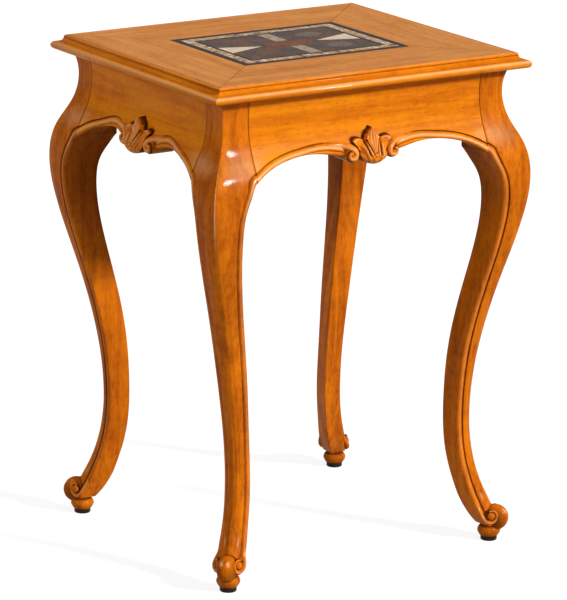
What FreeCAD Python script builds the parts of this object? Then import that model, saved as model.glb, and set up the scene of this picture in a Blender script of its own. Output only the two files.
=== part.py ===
import FreeCAD, Part
import math
import os
import Sketcher
from FreeCAD import Placement, Rotation, Vector

# Side table: a rectangular top with a stone panel, four cabriole legs, four shaped aprons.
# Millimetres. The origin is on the floor under the middle of the table, +Z is up and -Y is the front.

# Driving dimensions, kept in the sheet "sheet" under these names
SIZES = {
    "table_height": 660,
    "face_length": 444,
    "face_width": 380,
    "lip_overhang": 18,
    "top_thickness": 20,
    "veneer_thickness": 4,
    "moulding_seat": 22,
    "tongue_length": 8,
    "tongue_thickness": 6,
    "tongue_height": 5,
    "lip_quirk": 1.1,
    "lip_bead": 5,
    "lip_bead_edge": 4.8,
    "lip_bead_foot": 2.8,
    "lip_bead_crest": 2.2,
    "lip_bead_ease": 0.3,
    "lip_step": 4,
    "lip_hollow": 13,
    "lip_hollow_depth": 9.4,
    "lip_hollow_middle": 8.2,
    "lip_hollow_middle_depth": 7.8,
    "lip_nose": 5,
    "lip_nose_height": 5.3,
    "waste": 2,
    "inlay_length": 252,
    "inlay_width": 188,
    "outer_strip": 10,
    "mosaic_strip": 13,
    "inner_strip": 5,
    "wedge_tip": 42,
    "wedge_half": 19,
    "bar_start": 18,
    "bar_half": 9,
    "lozenge_half_length": 38,
    "lozenge_shoulder": 26,
    "lozenge_half_width": 13,
    "cabochon_x": 54,
    "cabochon_y": 38,
    "cabochon_length": 38,
    "cabochon_width": 28,
    "cabochon_swell_x": 0.37,
    "cabochon_swell_y": 0.35,
    "leg_inset": 4,
    "leg_block": 42,
    "apron_back": 22,
    "tenon_length": 16,
    "tenon_thickness": 8,
    "tenon_height": 46,
    "tenon_setback": 11,
    "tenon_drop": 13,
    "bead_width": 9,
    "bead_drop": 4,
    "bead_crest": 0.42,
    "quirk_width": 1.3,
    "quirk_depth": 2.2,
    "corner_swell": 3.4,
    "swell_height": 60,
    "corner_reach": 52,
    "foot_inset": 5.9,
    "roll_radius": 17.3,
    "roll_end_radius": 10.8,
    "roll_half": 13.5,
    "roll_out": 8.5,
    "roll_up": 31.5,
    "foot_eye_radius": 9.4,
    "foot_eye_out": 3.5,
    "foot_eye_reach": 17.6,
    "eye_share": 0.64,
    "eye_dome": 3.4,
    "dome_crest": 0.3,
    "dome_waist": 0.6,
    "pad_radius": 15.6,
    "pad_foot_radius": 11.5,
    "pad_neck_radius": 13.1,
    "pad_belly_height": 12.2,
    "pad_height": 19,
    "glide_radius": 11,
    "glide_height": 5.5,
    "glide_ease": 0.8,
    "corner_block_leg": 62,
    "corner_block_height": 24,
    "screw_radius": 1.8,
    "screw_head_radius": 3.6,
    "screw_head_height": 2.4,
    "block_screw_length": 22,
    "block_screw_along": 62,
    "block_screw_back": 36.4,
    "block_screw_drop": 9,
    "top_screw_length": 28,
    "top_screw_in": 48,
    "top_screw_recess": 4,
    "nail_radius": 1.1,
    "nail_head_radius": 3.4,
    "nail_head_height": 1.2,
    "nail_length": 16,
    "palmette_height": 46,
    "volute_radius": 9.5,
    "volute_spacing": 61,
    "volute_back": 16,
    "volute_front": 5,
}

# The leg's two side profiles, as (height, offset): offsets are measured outwards from the
# outer corner of the square block, so the knee is positive and the ankle negative.
OUTER_LINE = [(19, 8), (50, -2), (77, -11), (120, -20), (190, -23), (270, -15.5), (360, 2.5),
              (440, 21), (500, 26.5), (540, 19), (575, 2.5), (603, -4), (640, 1)]
INNER_LINE = [(19, -15), (34, -24), (70, -36), (120, -46), (190, -49.5), (268, -46), (350, -34),
              (420, -22.5), (468, -19.5), (500, -24), (520, -33), (535, -42), (541, -50), (551, -68)]
# How far a foot stands out of the diagonal of its block, as (height, shift): inwards along X and
# outwards along Y
SPLAY_LINE = [(0, 8), (45, 8.8), (95, 9.6), (140, 9), (200, 6.9), (260, 4.7), (330, 2.6), (420, 0.8),
              (500, 0.1), (540, 0)]
# Radius of the leg's outer arris, as (height, radius): sharp at the block, round below the knee
ARRIS_LINE = [(19, 7), (70, 8), (200, 9), (350, 10), (440, 10), (480, 8), (520, 5), (552, 3),
              (580, 1.5), (640, 1)]
SHAFT_HEIGHTS = [19, 34, 50, 70, 95, 125, 160, 200, 245, 295, 345, 395, 440, 475, 500, 515, 528, 540, 552]
BLOCK_HEIGHTS = [552, 562, 575, 590, 605, 622, 640]
# Height of the apron's lower edge, as (distance in from the leg joint, height); it peaks half way
# between the last of these and the volute, and falls to the volute beside the palmette.
ARCH_FROM_JOINT = [(0, 534), (8, 539.5), (26, 548.8), (50, 556)]
ARCH_PEAK = 559.5
ARCH_AT_VOLUTE = 553
ARCH_CENTRE = 553
VOLUTE_REACH = 42
# Where an apron's sections stand, in from the leg joint
APRON_STATIONS = [0, 4, 9, 16, 26, 38, 52]
APRON_STEP = 8
FACE_STEPS = 7
# The palmette's rounded lobes: distance along, height above its foot, half length, radius and
# tilt from upright in degrees. The middle leaf's height follows from the palmette's.
PALMETTE_DROP = 13
CUP = (0, 11, 20, 11, 90)
LEAF_RADIUS = 8
LEAF_SHARE = 0.62
SIDE_LOBES = [(9, 21, 15, 6.4, 20), (17.5, 21.5, 14, 6, 44), (20, 11.5, 9.5, 6.3, 90)]

SIDES = {"front": 0, "right": 90, "back": 180, "left": 270}
CORNERS = {"front_left": (-1, -1), "front_right": (1, -1), "back_left": (-1, 1), "back_right": (1, 1)}

doc = FreeCAD.newDocument("side_table")
nodes = {}


# The sheet of driving dimensions

def fill_sheet():
    """Puts each driving dimension in a cell of its own, with its name as the alias."""
    cells = doc.addObject("Spreadsheet::Sheet", "sheet")
    for row, (name, value) in enumerate(SIZES.items(), start=1):
        cells.set(f"A{row}", name)
        cells.set(f"B{row}", str(value))
        cells.setAlias(f"B{row}", name)
    doc.recompute()
    return cells


sheet = fill_sheet()


def size(name):
    """A driving dimension, read from the sheet."""
    return float(sheet.get(name))


# Pieces made from a flat outline

def value_of(owner, expression):
    """The number that an expression on the sheet gives now."""
    result = owner.evalExpression(expression)
    return float(getattr(result, "Value", result))


def new_body(label):
    """An empty body with this label."""
    body = doc.addObject("PartDesign::Body", label)
    body.Label = label
    return body


def new_sketch(body, plane, name):
    """A sketch on one of the body's own origin planes."""
    sketch = body.newObject("Sketcher::SketchObject", name)
    support = [item for item in body.Origin.OriginFeatures if item.Role == plane][0]
    sketch.AttachmentSupport = [(support, "")]
    sketch.MapMode = "FlatFace"
    return sketch


def draw_outline(sketch, corners, arcs=None):
    """A closed outline whose corners are bound to the sheet.

    corners is a list of (x, y) expressions. arcs maps the number of an edge to the (x, y)
    expressions of a point that the arc passes through; every other edge is straight.
    """
    arcs = arcs or {}
    first = sketch.GeometryCount
    points = [Vector(value_of(sketch, x), value_of(sketch, y), 0) for x, y in corners]
    count = len(points)
    for index in range(count):
        start, end = points[index], points[(index + 1) % count]
        if index in arcs:
            middle = Vector(*[value_of(sketch, text) for text in arcs[index]], 0)
            sketch.addGeometry(Part.Arc(start, middle, end), False)
        else:
            sketch.addGeometry(Part.LineSegment(start, end), False)
    # An arc that runs clockwise is stored with its ends swapped
    ends = []
    for index in range(count):
        swapped = sketch.getPoint(first + index, 1).distanceToPoint(points[index]) > 1e-6
        ends.append((2, 1) if swapped else (1, 2))
    for index in range(count):
        geometry = first + index
        previous = (index - 1) % count
        sketch.addConstraint(Sketcher.Constraint("Coincident", first + previous, ends[previous][1],
                                                 geometry, ends[index][0]))
        for axis, text in (("X", corners[index][0]), ("Y", corners[index][1])):
            distance = points[index].x if axis == "X" else points[index].y
            number = sketch.addConstraint(Sketcher.Constraint("Distance" + axis, -1, 1, geometry,
                                                              ends[index][0], distance))
            sketch.renameConstraint(number, f"corner_{axis.lower()}{geometry}")
            sketch.setExpression(f"Constraints.corner_{axis.lower()}{geometry}", text)
        if index in arcs:
            sketch.addConstraint(Sketcher.Constraint("Radius", geometry, sketch.Geometry[geometry].Radius))


def add_pad(body, sketch, height):
    """Pads a sketch by a height from the sheet."""
    pad = body.newObject("PartDesign::Pad", body.Label + "_pad")
    pad.Profile = sketch
    pad.setExpression("Length", height)
    return pad


def cut_through(body, sketch):
    """Cuts a sketch on the floor plane of the body through everything above it."""
    doc.recompute()
    before = body.Shape.Volume
    pocket = body.newObject("PartDesign::Pocket", body.Label + "_pocket")
    pocket.Profile = sketch
    pocket.Type = "ThroughAll"
    pocket.Reversed = True
    doc.recompute()
    if body.Shape.Volume > before - 1:
        raise RuntimeError(body.Label + ": the pocket cuts nothing")
    return pocket


def place(piece, x="0", y="0", z="0", turn=0):
    """Turns a piece about the upright axis and binds where it stands to the sheet."""
    piece.Placement = Placement(Vector(0, 0, 0), Rotation(Vector(0, 0, 1), turn))
    for axis, text in zip("xyz", (x, y, z)):
        piece.setExpression("Placement.Base." + axis, text)


def flat_piece(label, corners, z, arcs=None):
    """A veneer-thick piece with this outline, its underside at height z."""
    body = new_body(label)
    sketch = new_sketch(body, "XY_Plane", label + "_outline")
    draw_outline(sketch, corners, arcs)
    add_pad(body, sketch, "sheet.veneer_thickness")
    place(body, z=z)
    return body


# The top

CORE_LENGTH = "(sheet.face_length - 2 * sheet.moulding_seat)"
CORE_WIDTH = "(sheet.face_width - 2 * sheet.moulding_seat)"
TOP_UNDERSIDE = "(sheet.table_height - sheet.top_thickness)"
VENEER_BED = "(sheet.table_height - sheet.veneer_thickness)"


def ring_strips(prefix, length, width, strip):
    """Four mitred strips round a rectangle; length, width and strip are expressions."""
    for side, turn in SIDES.items():
        run = length if side in ("front", "back") else width
        corners = [(f"-({run}) / 2", "0"), (f"({run}) / 2", "0"),
                   (f"({run}) / 2 - ({strip})", strip), (f"-({run}) / 2 + ({strip})", strip)]
        body = flat_piece(f"{prefix}_{side}", corners, VENEER_BED)
        offsets = {"front": ("0", f"-({width}) / 2"), "right": (f"({length}) / 2", "0"),
                   "back": ("0", f"({width}) / 2"), "left": (f"-({length}) / 2", "0")}
        place(body, x=offsets[side][0], y=offsets[side][1], z=VENEER_BED, turn=turn)
        nodes[body.Label] = body


def top_core_board():
    """The board that carries the veneers, with a tongue all round it for the mouldings."""
    board = doc.addObject("Part::Box", "core_board")
    board.setExpression("Length", CORE_LENGTH)
    board.setExpression("Width", CORE_WIDTH)
    board.setExpression("Height", "sheet.top_thickness - sheet.veneer_thickness")
    place(board, x=f"-{CORE_LENGTH} / 2", y=f"-{CORE_WIDTH} / 2", z=TOP_UNDERSIDE)
    tongue = doc.addObject("Part::Box", "core_tongue")
    tongue.setExpression("Length", f"{CORE_LENGTH} + 2 * sheet.tongue_length")
    tongue.setExpression("Width", f"{CORE_WIDTH} + 2 * sheet.tongue_length")
    tongue.setExpression("Height", "sheet.tongue_thickness")
    place(tongue, x=f"-{CORE_LENGTH} / 2 - sheet.tongue_length",
          y=f"-{CORE_WIDTH} / 2 - sheet.tongue_length", z=f"{TOP_UNDERSIDE} + sheet.tongue_height")
    blank = doc.addObject("Part::Fuse", "core_blank")
    blank.Base = board
    blank.Tool = tongue
    return blank


def edge_mouldings():
    """Four mitred mouldings: quirk, bead, hollow and round nose, grooved for the core's tongue."""
    depth = "(sheet.lip_overhang + sheet.moulding_seat)"
    lip = "sheet.lip_overhang"
    step = "(sheet.top_thickness - sheet.veneer_thickness)"
    profile = [
        (depth, "0"),
        (depth, "sheet.tongue_height"),
        (f"{depth} - sheet.tongue_length", "sheet.tongue_height"),
        (f"{depth} - sheet.tongue_length", "sheet.tongue_height + sheet.tongue_thickness"),
        (depth, "sheet.tongue_height + sheet.tongue_thickness"),
        (depth, step),
        (lip, step),
        (lip, "sheet.top_thickness - sheet.lip_quirk"),
        (f"{lip} - sheet.lip_bead_edge", "sheet.top_thickness - sheet.lip_bead_foot"),
        (f"{lip} - sheet.lip_bead", "sheet.top_thickness - sheet.lip_step"),
        (f"{lip} - sheet.lip_hollow", "sheet.top_thickness - sheet.lip_hollow_depth"),
        ("sheet.lip_nose", "0"),
    ]
    arcs = {7: (f"{lip} - sheet.lip_bead_crest", "sheet.top_thickness - sheet.lip_bead_ease"),
            9: (f"{lip} - sheet.lip_hollow_middle", "sheet.top_thickness - sheet.lip_hollow_middle_depth"),
            10: ("0", "sheet.lip_nose_height")}
    for side, turn in SIDES.items():
        face = "sheet.face_length" if side in ("front", "back") else "sheet.face_width"
        length = f"({face} + 2 * {lip})"
        body = new_body(f"edge_moulding_{side}")
        section = new_sketch(body, "YZ_Plane", body.Label + "_section")
        draw_outline(section, profile, arcs)
        pad = add_pad(body, section, length)
        pad.SideType = "Symmetric"
        mitre = new_sketch(body, "XY_Plane", body.Label + "_mitre")
        for sign in ("", "-"):
            end = f"{sign}({length} / 2 + sheet.waste)"
            inside = f"{depth} + sheet.waste"
            draw_outline(mitre, [(end, "-sheet.waste"), (end, inside),
                                 (f"{sign}({length} / 2 - ({inside}))", inside)])
        cut_through(body, mitre)
        reach_x, reach_y = f"(sheet.face_length / 2 + {lip})", f"(sheet.face_width / 2 + {lip})"
        half = {"front": ("0", f"-{reach_y}"), "right": (reach_x, "0"),
                "back": ("0", reach_y), "left": (f"-{reach_x}", "0")}
        place(body, x=half[side][0], y=half[side][1], z=TOP_UNDERSIDE, turn=turn)
        nodes[body.Label] = body


def stone_panel():
    """The stone panel: three rings of strips, the dark field and the figures let into it."""
    length, width = "sheet.inlay_length", "sheet.inlay_width"
    ring_strips("black_strip", length, width, "sheet.outer_strip")
    length, width = f"({length} - 2 * sheet.outer_strip)", f"({width} - 2 * sheet.outer_strip)"
    ring_strips("mosaic_strip", length, width, "sheet.mosaic_strip")
    length, width = f"({length} - 2 * sheet.mosaic_strip)", f"({width} - 2 * sheet.mosaic_strip)"
    ring_strips("inner_strip", length, width, "sheet.inner_strip")
    half_x, half_y = f"({length} / 2 - sheet.inner_strip)", f"({width} / 2 - sheet.inner_strip)"

    figures = {}
    for side, sign in (("left", "-"), ("right", "")):
        figures[f"cream_wedge_{side}"] = ([(f"{sign}sheet.wedge_tip", "0"),
                                           (f"{sign}{half_x}", "-sheet.wedge_half"),
                                           (f"{sign}{half_x}", "sheet.wedge_half")], {})
    for side, sign in (("front", "-"), ("back", "")):
        figures[f"speckled_bar_{side}"] = ([("-sheet.bar_half", f"{sign}sheet.bar_start"),
                                            ("sheet.bar_half", f"{sign}sheet.bar_start"),
                                            ("sheet.bar_half", f"{sign}{half_y}"),
                                            ("-sheet.bar_half", f"{sign}{half_y}")], {})
    figures["centre_lozenge"] = ([("-sheet.lozenge_half_length", "0"),
                                  ("-sheet.lozenge_shoulder", "-sheet.lozenge_half_width"),
                                  ("sheet.lozenge_shoulder", "-sheet.lozenge_half_width"),
                                  ("sheet.lozenge_half_length", "0"),
                                  ("sheet.lozenge_shoulder", "sheet.lozenge_half_width"),
                                  ("-sheet.lozenge_shoulder", "sheet.lozenge_half_width")], {})
    for name, (sign_x, sign_y) in CORNERS.items():
        x = f"({sign_x} * sheet.cabochon_x)"
        y = f"({sign_y} * sheet.cabochon_y)"
        corners = [(f"{x} - sheet.cabochon_length / 2", y), (x, f"{y} - sheet.cabochon_width / 2"),
                   (f"{x} + sheet.cabochon_length / 2", y), (x, f"{y} + sheet.cabochon_width / 2")]
        arcs = {}
        for edge, (side_x, side_y) in enumerate(((-1, -1), (1, -1), (1, 1), (-1, 1))):
            arcs[edge] = (f"{x} + {side_x} * sheet.cabochon_swell_x * sheet.cabochon_length",
                          f"{y} + {side_y} * sheet.cabochon_swell_y * sheet.cabochon_width")
        figures[f"cabochon_{name}"] = (corners, arcs)

    field = flat_piece("stone_field", [(f"-{half_x}", f"-{half_y}"), (half_x, f"-{half_y}"),
                                       (half_x, half_y), (f"-{half_x}", half_y)], VENEER_BED)
    openings = new_sketch(field, "XY_Plane", "stone_field_openings")
    for corners, arcs in figures.values():
        draw_outline(openings, corners, arcs)
    cut_through(field, openings)
    nodes["stone_field"] = field
    for label, (corners, arcs) in figures.items():
        nodes[label] = flat_piece(label, corners, VENEER_BED, arcs)


# The curves that legs and aprons share

def smooth_line(points):
    """A smooth curve through (height, offset) points, read at any height."""
    curve = Part.BSplineCurve()
    curve.interpolate([Vector(offset, 0, height) for height, offset in points])

    def offset_at(height):
        low, high = curve.FirstParameter, curve.LastParameter
        for _ in range(48):
            middle = (low + high) / 2
            if curve.value(middle).z < height:
                low = middle
            else:
                high = middle
        return curve.value((low + high) / 2).x

    return offset_at


outer_at = smooth_line(OUTER_LINE)
inner_at = smooth_line(INNER_LINE)
splay_at = smooth_line(SPLAY_LINE)


def arris_at(height):
    """Radius of the leg's outer arris at a height."""
    for (low, small), (high, large) in zip(ARRIS_LINE, ARRIS_LINE[1:]):
        if height <= high:
            return small + (large - small) * (height - low) / (high - low)
    return ARRIS_LINE[-1][1]


def slope_of(line, place_on_line, reach=1.0):
    """How fast a curve moves sideways for each millimetre along."""
    return (line(place_on_line + reach) - line(place_on_line - reach)) / (2 * reach)


# The legs

def half_x():
    """Distance from the table's middle to the outer face of a leg block, along X."""
    return size("face_length") / 2 - size("leg_inset")


def half_y():
    """Distance from the table's middle to the outer face of a leg block, along Y."""
    return size("face_width") / 2 - size("leg_inset")


def leg_point(out_x, out_y, height):
    """A point of the front left leg, from its offsets outwards of the block's outer corner."""
    shift = splay_at(height) if height < SPLAY_LINE[-1][0] else 0
    return Vector(-(half_x() + out_x - shift), -(half_y() + out_y + shift), height)


def shaft_section(height):
    """One level section of the leg: two inner faces, a bead and quirk at each side, a round arris.

    The inner corner stands a little beyond the square of the section.
    """
    outer, inner, radius = outer_at(height), inner_at(height), arris_at(height)
    lowest, highest = INNER_LINE[0][0], INNER_LINE[-1][0]
    middle = min(max(height, lowest + 1), highest - 1)
    bead = size("bead_width") * math.hypot(1, slope_of(inner_at, middle))
    drop, quirk = size("bead_drop"), size("quirk_depth")
    side = [(inner, outer - drop), (inner + size("bead_crest") * bead, outer),
            (inner + bead, outer - quirk), (inner + bead + size("quirk_width"), outer),
            (outer - radius, outer)]
    turn = outer - radius * (1 - math.sqrt(0.5))
    swell = size("corner_swell") * min(1, height / size("swell_height"))
    deepest = max(inner - swell, -size("corner_reach"))

    def at(first, second):
        return leg_point(first, second, height)

    corner = at(deepest, deepest)
    near, far = [at(a, b) for a, b in side], [at(b, a) for a, b in side]
    edges = [Part.LineSegment(corner, near[0]), Part.Arc(near[0], near[1], near[2]),
             Part.LineSegment(near[2], near[3]), Part.LineSegment(near[3], near[4]),
             Part.Arc(near[4], at(turn, turn), far[4]), Part.LineSegment(far[4], far[3]),
             Part.LineSegment(far[3], far[2]), Part.Arc(far[2], far[1], far[0]),
             Part.LineSegment(far[0], corner)]
    return Part.Wire([edge.toShape() for edge in edges])


def block_section(height):
    """One level section of the square block at the head of the leg."""
    outer, inner, radius = outer_at(height), -size("leg_block"), arris_at(height)
    turn = outer - radius * (1 - math.sqrt(0.5))
    offsets = [(inner, inner), (inner, outer), (outer - radius, outer), (outer, outer - radius),
               (outer, inner)]
    corners = [leg_point(a, b, height) for a, b in offsets]
    edges = [Part.LineSegment(corners[0], corners[1]), Part.LineSegment(corners[1], corners[2]),
             Part.Arc(corners[2], leg_point(turn, turn, height), corners[3]),
             Part.LineSegment(corners[3], corners[4]), Part.LineSegment(corners[4], corners[0])]
    return Part.Wire([edge.toShape() for edge in edges])


def turned_form(points, arcs, base, along, across):
    """A solid turned about the line through base along a direction.

    points are (distance along, radius) corners of the half section and arcs maps an edge's
    number to the (distance, radius) that its arc passes through.
    """
    spots = [base + along * a + across * r for a, r in points]
    edges = []
    for index, start in enumerate(spots):
        end = spots[(index + 1) % len(spots)]
        if index in arcs:
            a, r = arcs[index]
            edges.append(Part.Arc(start, base + along * a + across * r, end).toShape())
        else:
            edges.append(Part.LineSegment(start, end).toShape())
    return Part.Face(Part.Wire(edges)).revolve(base, along, 360)


def volute_form(radius, inside, outside, base, along, across):
    """A round volute: a disc with a domed eye standing on it."""
    eye, dome = size("eye_share") * radius, size("eye_dome")
    points = [(inside, 0), (inside, radius), (outside - dome, radius), (outside - dome, eye), (outside, 0)]
    crest = (outside - size("dome_crest") * dome, size("dome_waist") * eye)
    return turned_form(points, {3: crest}, base, along, across)


def foot_centre():
    """The middle of the front left foot on the floor."""
    return leg_point(-size("foot_inset"), -size("foot_inset"), 0)


def scroll_foot():
    """The scroll that the leg ends in, with an eye at each side, and the turned pad under it."""
    outwards = Vector(-1, -1, 0).normalize()
    across = Vector(1, -1, 0).normalize()
    up = Vector(0, 0, 1)
    centre = foot_centre()
    roll_centre = centre + outwards * size("roll_out") + up * size("roll_up")
    half, end_radius = size("roll_half"), size("roll_end_radius")
    roll = turned_form([(-half, 0), (-half, end_radius), (half, end_radius), (half, 0)],
                       {1: (0, size("roll_radius"))}, roll_centre, across, up)
    eye_centre = centre + outwards * size("foot_eye_out") + up * size("roll_up")
    eye_radius, reach = size("foot_eye_radius"), size("foot_eye_reach")
    near_eye = volute_form(eye_radius, 0, reach, eye_centre, across, up)
    far_eye = volute_form(eye_radius, 0, reach, eye_centre, across * -1, up)
    low, high = size("glide_height"), size("pad_height")
    buried = high + low
    neck = size("pad_neck_radius")
    half_section = [(low, 0), (low, size("pad_foot_radius")), (high, neck), (buried, neck / 2),
                    (buried, 0)]
    pad = turned_form(half_section, {1: (size("pad_belly_height"), size("pad_radius"))}, centre, up, outwards)
    return roll.fuse([near_eye, far_eye, pad])


def tenon_box(turn):
    """The space of one tenon in the front left leg: along X when turn is 0, along Y when it is 90."""
    block, length, thick = size("leg_block"), size("tenon_length"), size("tenon_thickness")
    tall, back = size("tenon_height"), size("tenon_setback")
    top = size("table_height") - size("top_thickness") - size("tenon_drop")
    along = (-(half_x() - block) - length, -(half_y() - back) - thick / 2, length, thick)
    if turn:
        along = (-(half_x() - back) - thick / 2, -(half_y() - block) - length, thick, length)
    return Part.makeBox(along[2], along[3], tall, Vector(along[0], along[1], top - tall))


def leg_shape():
    """The front left leg: shaft, block, scroll and pad in one piece, with its two mortises."""
    shaft = Part.makeLoft([shaft_section(height) for height in SHAFT_HEIGHTS], True, False)
    block = Part.makeLoft([block_section(height) for height in BLOCK_HEIGHTS], True, False)
    joint_x, joint_y = half_x() - size("leg_block"), half_y() - size("leg_block")
    back_x, back_y = half_x() - size("apron_back"), half_y() - size("apron_back")
    low = ARCH_FROM_JOINT[0][1] - 2
    reach = size("leg_block")
    # Where the ends of the two aprons stand, the shaft is cut back to the joint
    shaft = shaft.cut(Part.makeBox(reach, 2 * reach, reach, Vector(-joint_x, -back_y - 2 * reach, low)))
    shaft = shaft.cut(Part.makeBox(2 * reach, reach, reach, Vector(-back_x - 2 * reach, -joint_y, low)))
    leg = shaft.fuse([block, scroll_foot()])
    for turn in (0, 90):
        leg = leg.cut(tenon_box(turn))
    return leg


# The aprons

def arch_line(half_run):
    """Height of an apron's lower edge against the distance from the middle of the side."""
    points = [(half_run - distance, height) for distance, height in ARCH_FROM_JOINT]
    peak = (points[-1][0] + VOLUTE_REACH) / 2
    points += [(peak, ARCH_PEAK), (VOLUTE_REACH, ARCH_AT_VOLUTE), (0, ARCH_CENTRE)]
    curve = smooth_line([(place_on_line, height) for place_on_line, height in reversed(points)])
    return lambda distance: curve(min(abs(distance), half_run))


def apron_section(distance, edge, slope):
    """One upright section of an apron, its face at -Y and its lower edge at the height edge."""
    top = size("table_height") - size("top_thickness")
    bead = size("bead_width") * math.hypot(1, slope)
    quirk_top = edge + bead + size("quirk_width")
    drop, quirk = size("bead_drop"), size("quirk_depth")

    def at(outwards, height):
        return Vector(distance, -outwards, height)

    face = [top + (quirk_top - top) * step / FACE_STEPS for step in range(FACE_STEPS + 1)]
    front = Part.BSplineCurve()
    front.interpolate([at(outer_at(height), height) for height in face])
    back_top, back_low = at(-size("apron_back"), top), at(-size("apron_back"), edge)
    quirk_edge = at(outer_at(quirk_top), quirk_top)
    quirk_root = at(outer_at(edge + bead) - quirk, edge + bead)
    crest_height = edge + size("bead_crest") * bead
    crest, lowest = at(outer_at(crest_height), crest_height), at(outer_at(edge) - drop, edge)
    edges = [Part.LineSegment(back_top, at(outer_at(top), top)), front,
             Part.LineSegment(quirk_edge, quirk_root), Part.Arc(quirk_root, crest, lowest),
             Part.LineSegment(lowest, back_low), Part.LineSegment(back_low, back_top)]
    return Part.Wire([edge_curve.toShape() for edge_curve in edges])


def apron_shape(half_block):
    """An apron with its two tenons, along X with its face towards -Y; half_block is half its side."""
    half_run = half_block - size("leg_block")
    line = arch_line(half_run)
    reaches = [half_run - step for step in APRON_STATIONS]
    middle = (reaches[-1] + VOLUTE_REACH) / 2
    reaches += [middle + APRON_STEP, middle - APRON_STEP, VOLUTE_REACH + APRON_STEP, VOLUTE_REACH,
                VOLUTE_REACH - APRON_STEP]
    stations = [-reach for reach in reaches] + [0] + list(reversed(reaches))
    sections = []
    for distance in stations:
        near_end = abs(distance) > half_run - 1
        slope = 1.0 if near_end else slope_of(line, distance)
        sections.append(apron_section(distance, line(distance), slope))
    board = Part.makeLoft(sections, True, False)
    thick, length, tall = size("tenon_thickness"), size("tenon_length"), size("tenon_height")
    low = size("table_height") - size("top_thickness") - size("tenon_drop") - tall
    front = size("tenon_setback") - thick / 2
    for start in (-half_run - length, half_run):
        board = board.fuse(Part.makeBox(length, thick, tall, Vector(start, front, low)))
    return board


# The carved palmettes

def lobe(along, height, half_length, radius, tilt):
    """A rounded lobe on the apron's face: a half ellipse turned about its length, then tilted."""
    middle = Vector(0, 0, 0)
    rim = Part.Ellipse(middle, half_length, radius).toShape(0, math.pi)
    length = Part.LineSegment(Vector(-half_length, 0, 0), Vector(half_length, 0, 0)).toShape()
    form = Part.Face(Part.Wire([rim, length])).revolve(middle, Vector(1, 0, 0), 360)
    centre = Vector(along, -outer_at(height), height)
    form.Placement = Placement(centre, Rotation(Vector(0, 1, 0), tilt - 90))
    return form


def palmette_shape(apron):
    """A carved leaf with two lobes at each side, gathered at its foot between two volutes."""
    foot = ARCH_CENTRE - PALMETTE_DROP
    cup_height = foot + CUP[1]
    half_leaf = (foot + size("palmette_height") - cup_height) * LEAF_SHARE
    leaf_height = foot + size("palmette_height") - half_leaf
    forms = [lobe(0, leaf_height, half_leaf, LEAF_RADIUS, 0), lobe(CUP[0], cup_height, *CUP[2:])]
    for sign in (-1, 1):
        for along, above, half_length, radius, tilt in SIDE_LOBES:
            forms.append(lobe(sign * along, foot + above, half_length, radius, sign * tilt))
        eye = Vector(sign * size("volute_spacing") / 2, -outer_at(cup_height), cup_height)
        forms.append(volute_form(size("volute_radius"), -size("volute_back"), size("volute_front"), eye,
                                 Vector(0, -1, 0), Vector(0, 0, 1)))
    carving = forms[0].fuse(forms[1:])
    carving = carving.cut(apron)
    return max(carving.Solids, key=lambda solid: solid.Volume)


# Corner blocks, feet and fasteners

def corner_blocks():
    """A block behind each leg, set against both aprons, bored for three screws."""
    block, back = "sheet.leg_block", "sheet.apron_back"
    reach, height = f"({back} + sheet.corner_block_leg)", "sheet.corner_block_height"
    blanks = {}
    for label, (sign_x, sign_y) in CORNERS.items():
        body = new_body(f"corner_blank_{label}")
        sketch = new_sketch(body, "XY_Plane", body.Label + "_outline")
        outline = [(block, back), (reach, back), (back, reach), (back, block), (block, block)]
        draw_outline(sketch, [(f"{-sign_x} * {x}", f"{-sign_y} * {y}") for x, y in outline])
        add_pad(body, sketch, height)
        place(body, x=f"{sign_x} * (sheet.face_length / 2 - sheet.leg_inset)",
              y=f"{sign_y} * (sheet.face_width / 2 - sheet.leg_inset)", z=f"{TOP_UNDERSIDE} - {height}")
        blanks[label] = body
    return blanks


def fastener(label, start, along, shank, head_radius, head_height, length):
    """A headed screw or nail: its head begins at start and its shank runs on along a direction."""
    turn = Rotation(Vector(0, 0, 1), along)
    head = doc.addObject("Part::Cylinder", label + "_head")
    head.setExpression("Radius", head_radius)
    head.setExpression("Height", head_height)
    head.Placement = Placement(start, turn)
    pin = doc.addObject("Part::Cylinder", label + "_shank")
    pin.setExpression("Radius", shank)
    pin.setExpression("Height", f"{length} + {head_height}")
    pin.Placement = Placement(start, turn)
    whole = doc.addObject("Part::Fuse", label)
    whole.Base = head
    whole.Tool = pin
    return whole


def recess(label, start, along, radius, depth):
    """The round recess that a head sits in."""
    hole = doc.addObject("Part::Cylinder", label)
    hole.Radius = radius
    hole.Height = depth
    hole.Placement = Placement(start, Rotation(Vector(0, 0, 1), along))
    return hole


def bundle(label, parts):
    """Like fasteners as one group."""
    group = doc.addObject("Part::Compound", label)
    group.Label = label
    group.Links = parts
    return group


def cut_from(label, base, tools):
    """A piece with its holes cut; the result takes the label and joins the list of pieces."""
    tool = tools[0]
    if len(tools) > 1:
        tool = doc.addObject("Part::Compound", label + "_tools")
        tool.Links = tools
    result = doc.addObject("Part::Cut", label)
    result.Label = label
    result.Base = base
    result.Tool = tool
    nodes[label] = result
    return result


def corner_point(sign_x, sign_y, in_x, in_y, height):
    """A point given by its distances inwards from the outer corner of a leg block."""
    return Vector(sign_x * (half_x() - in_x), sign_y * (half_y() - in_y), height)


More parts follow.
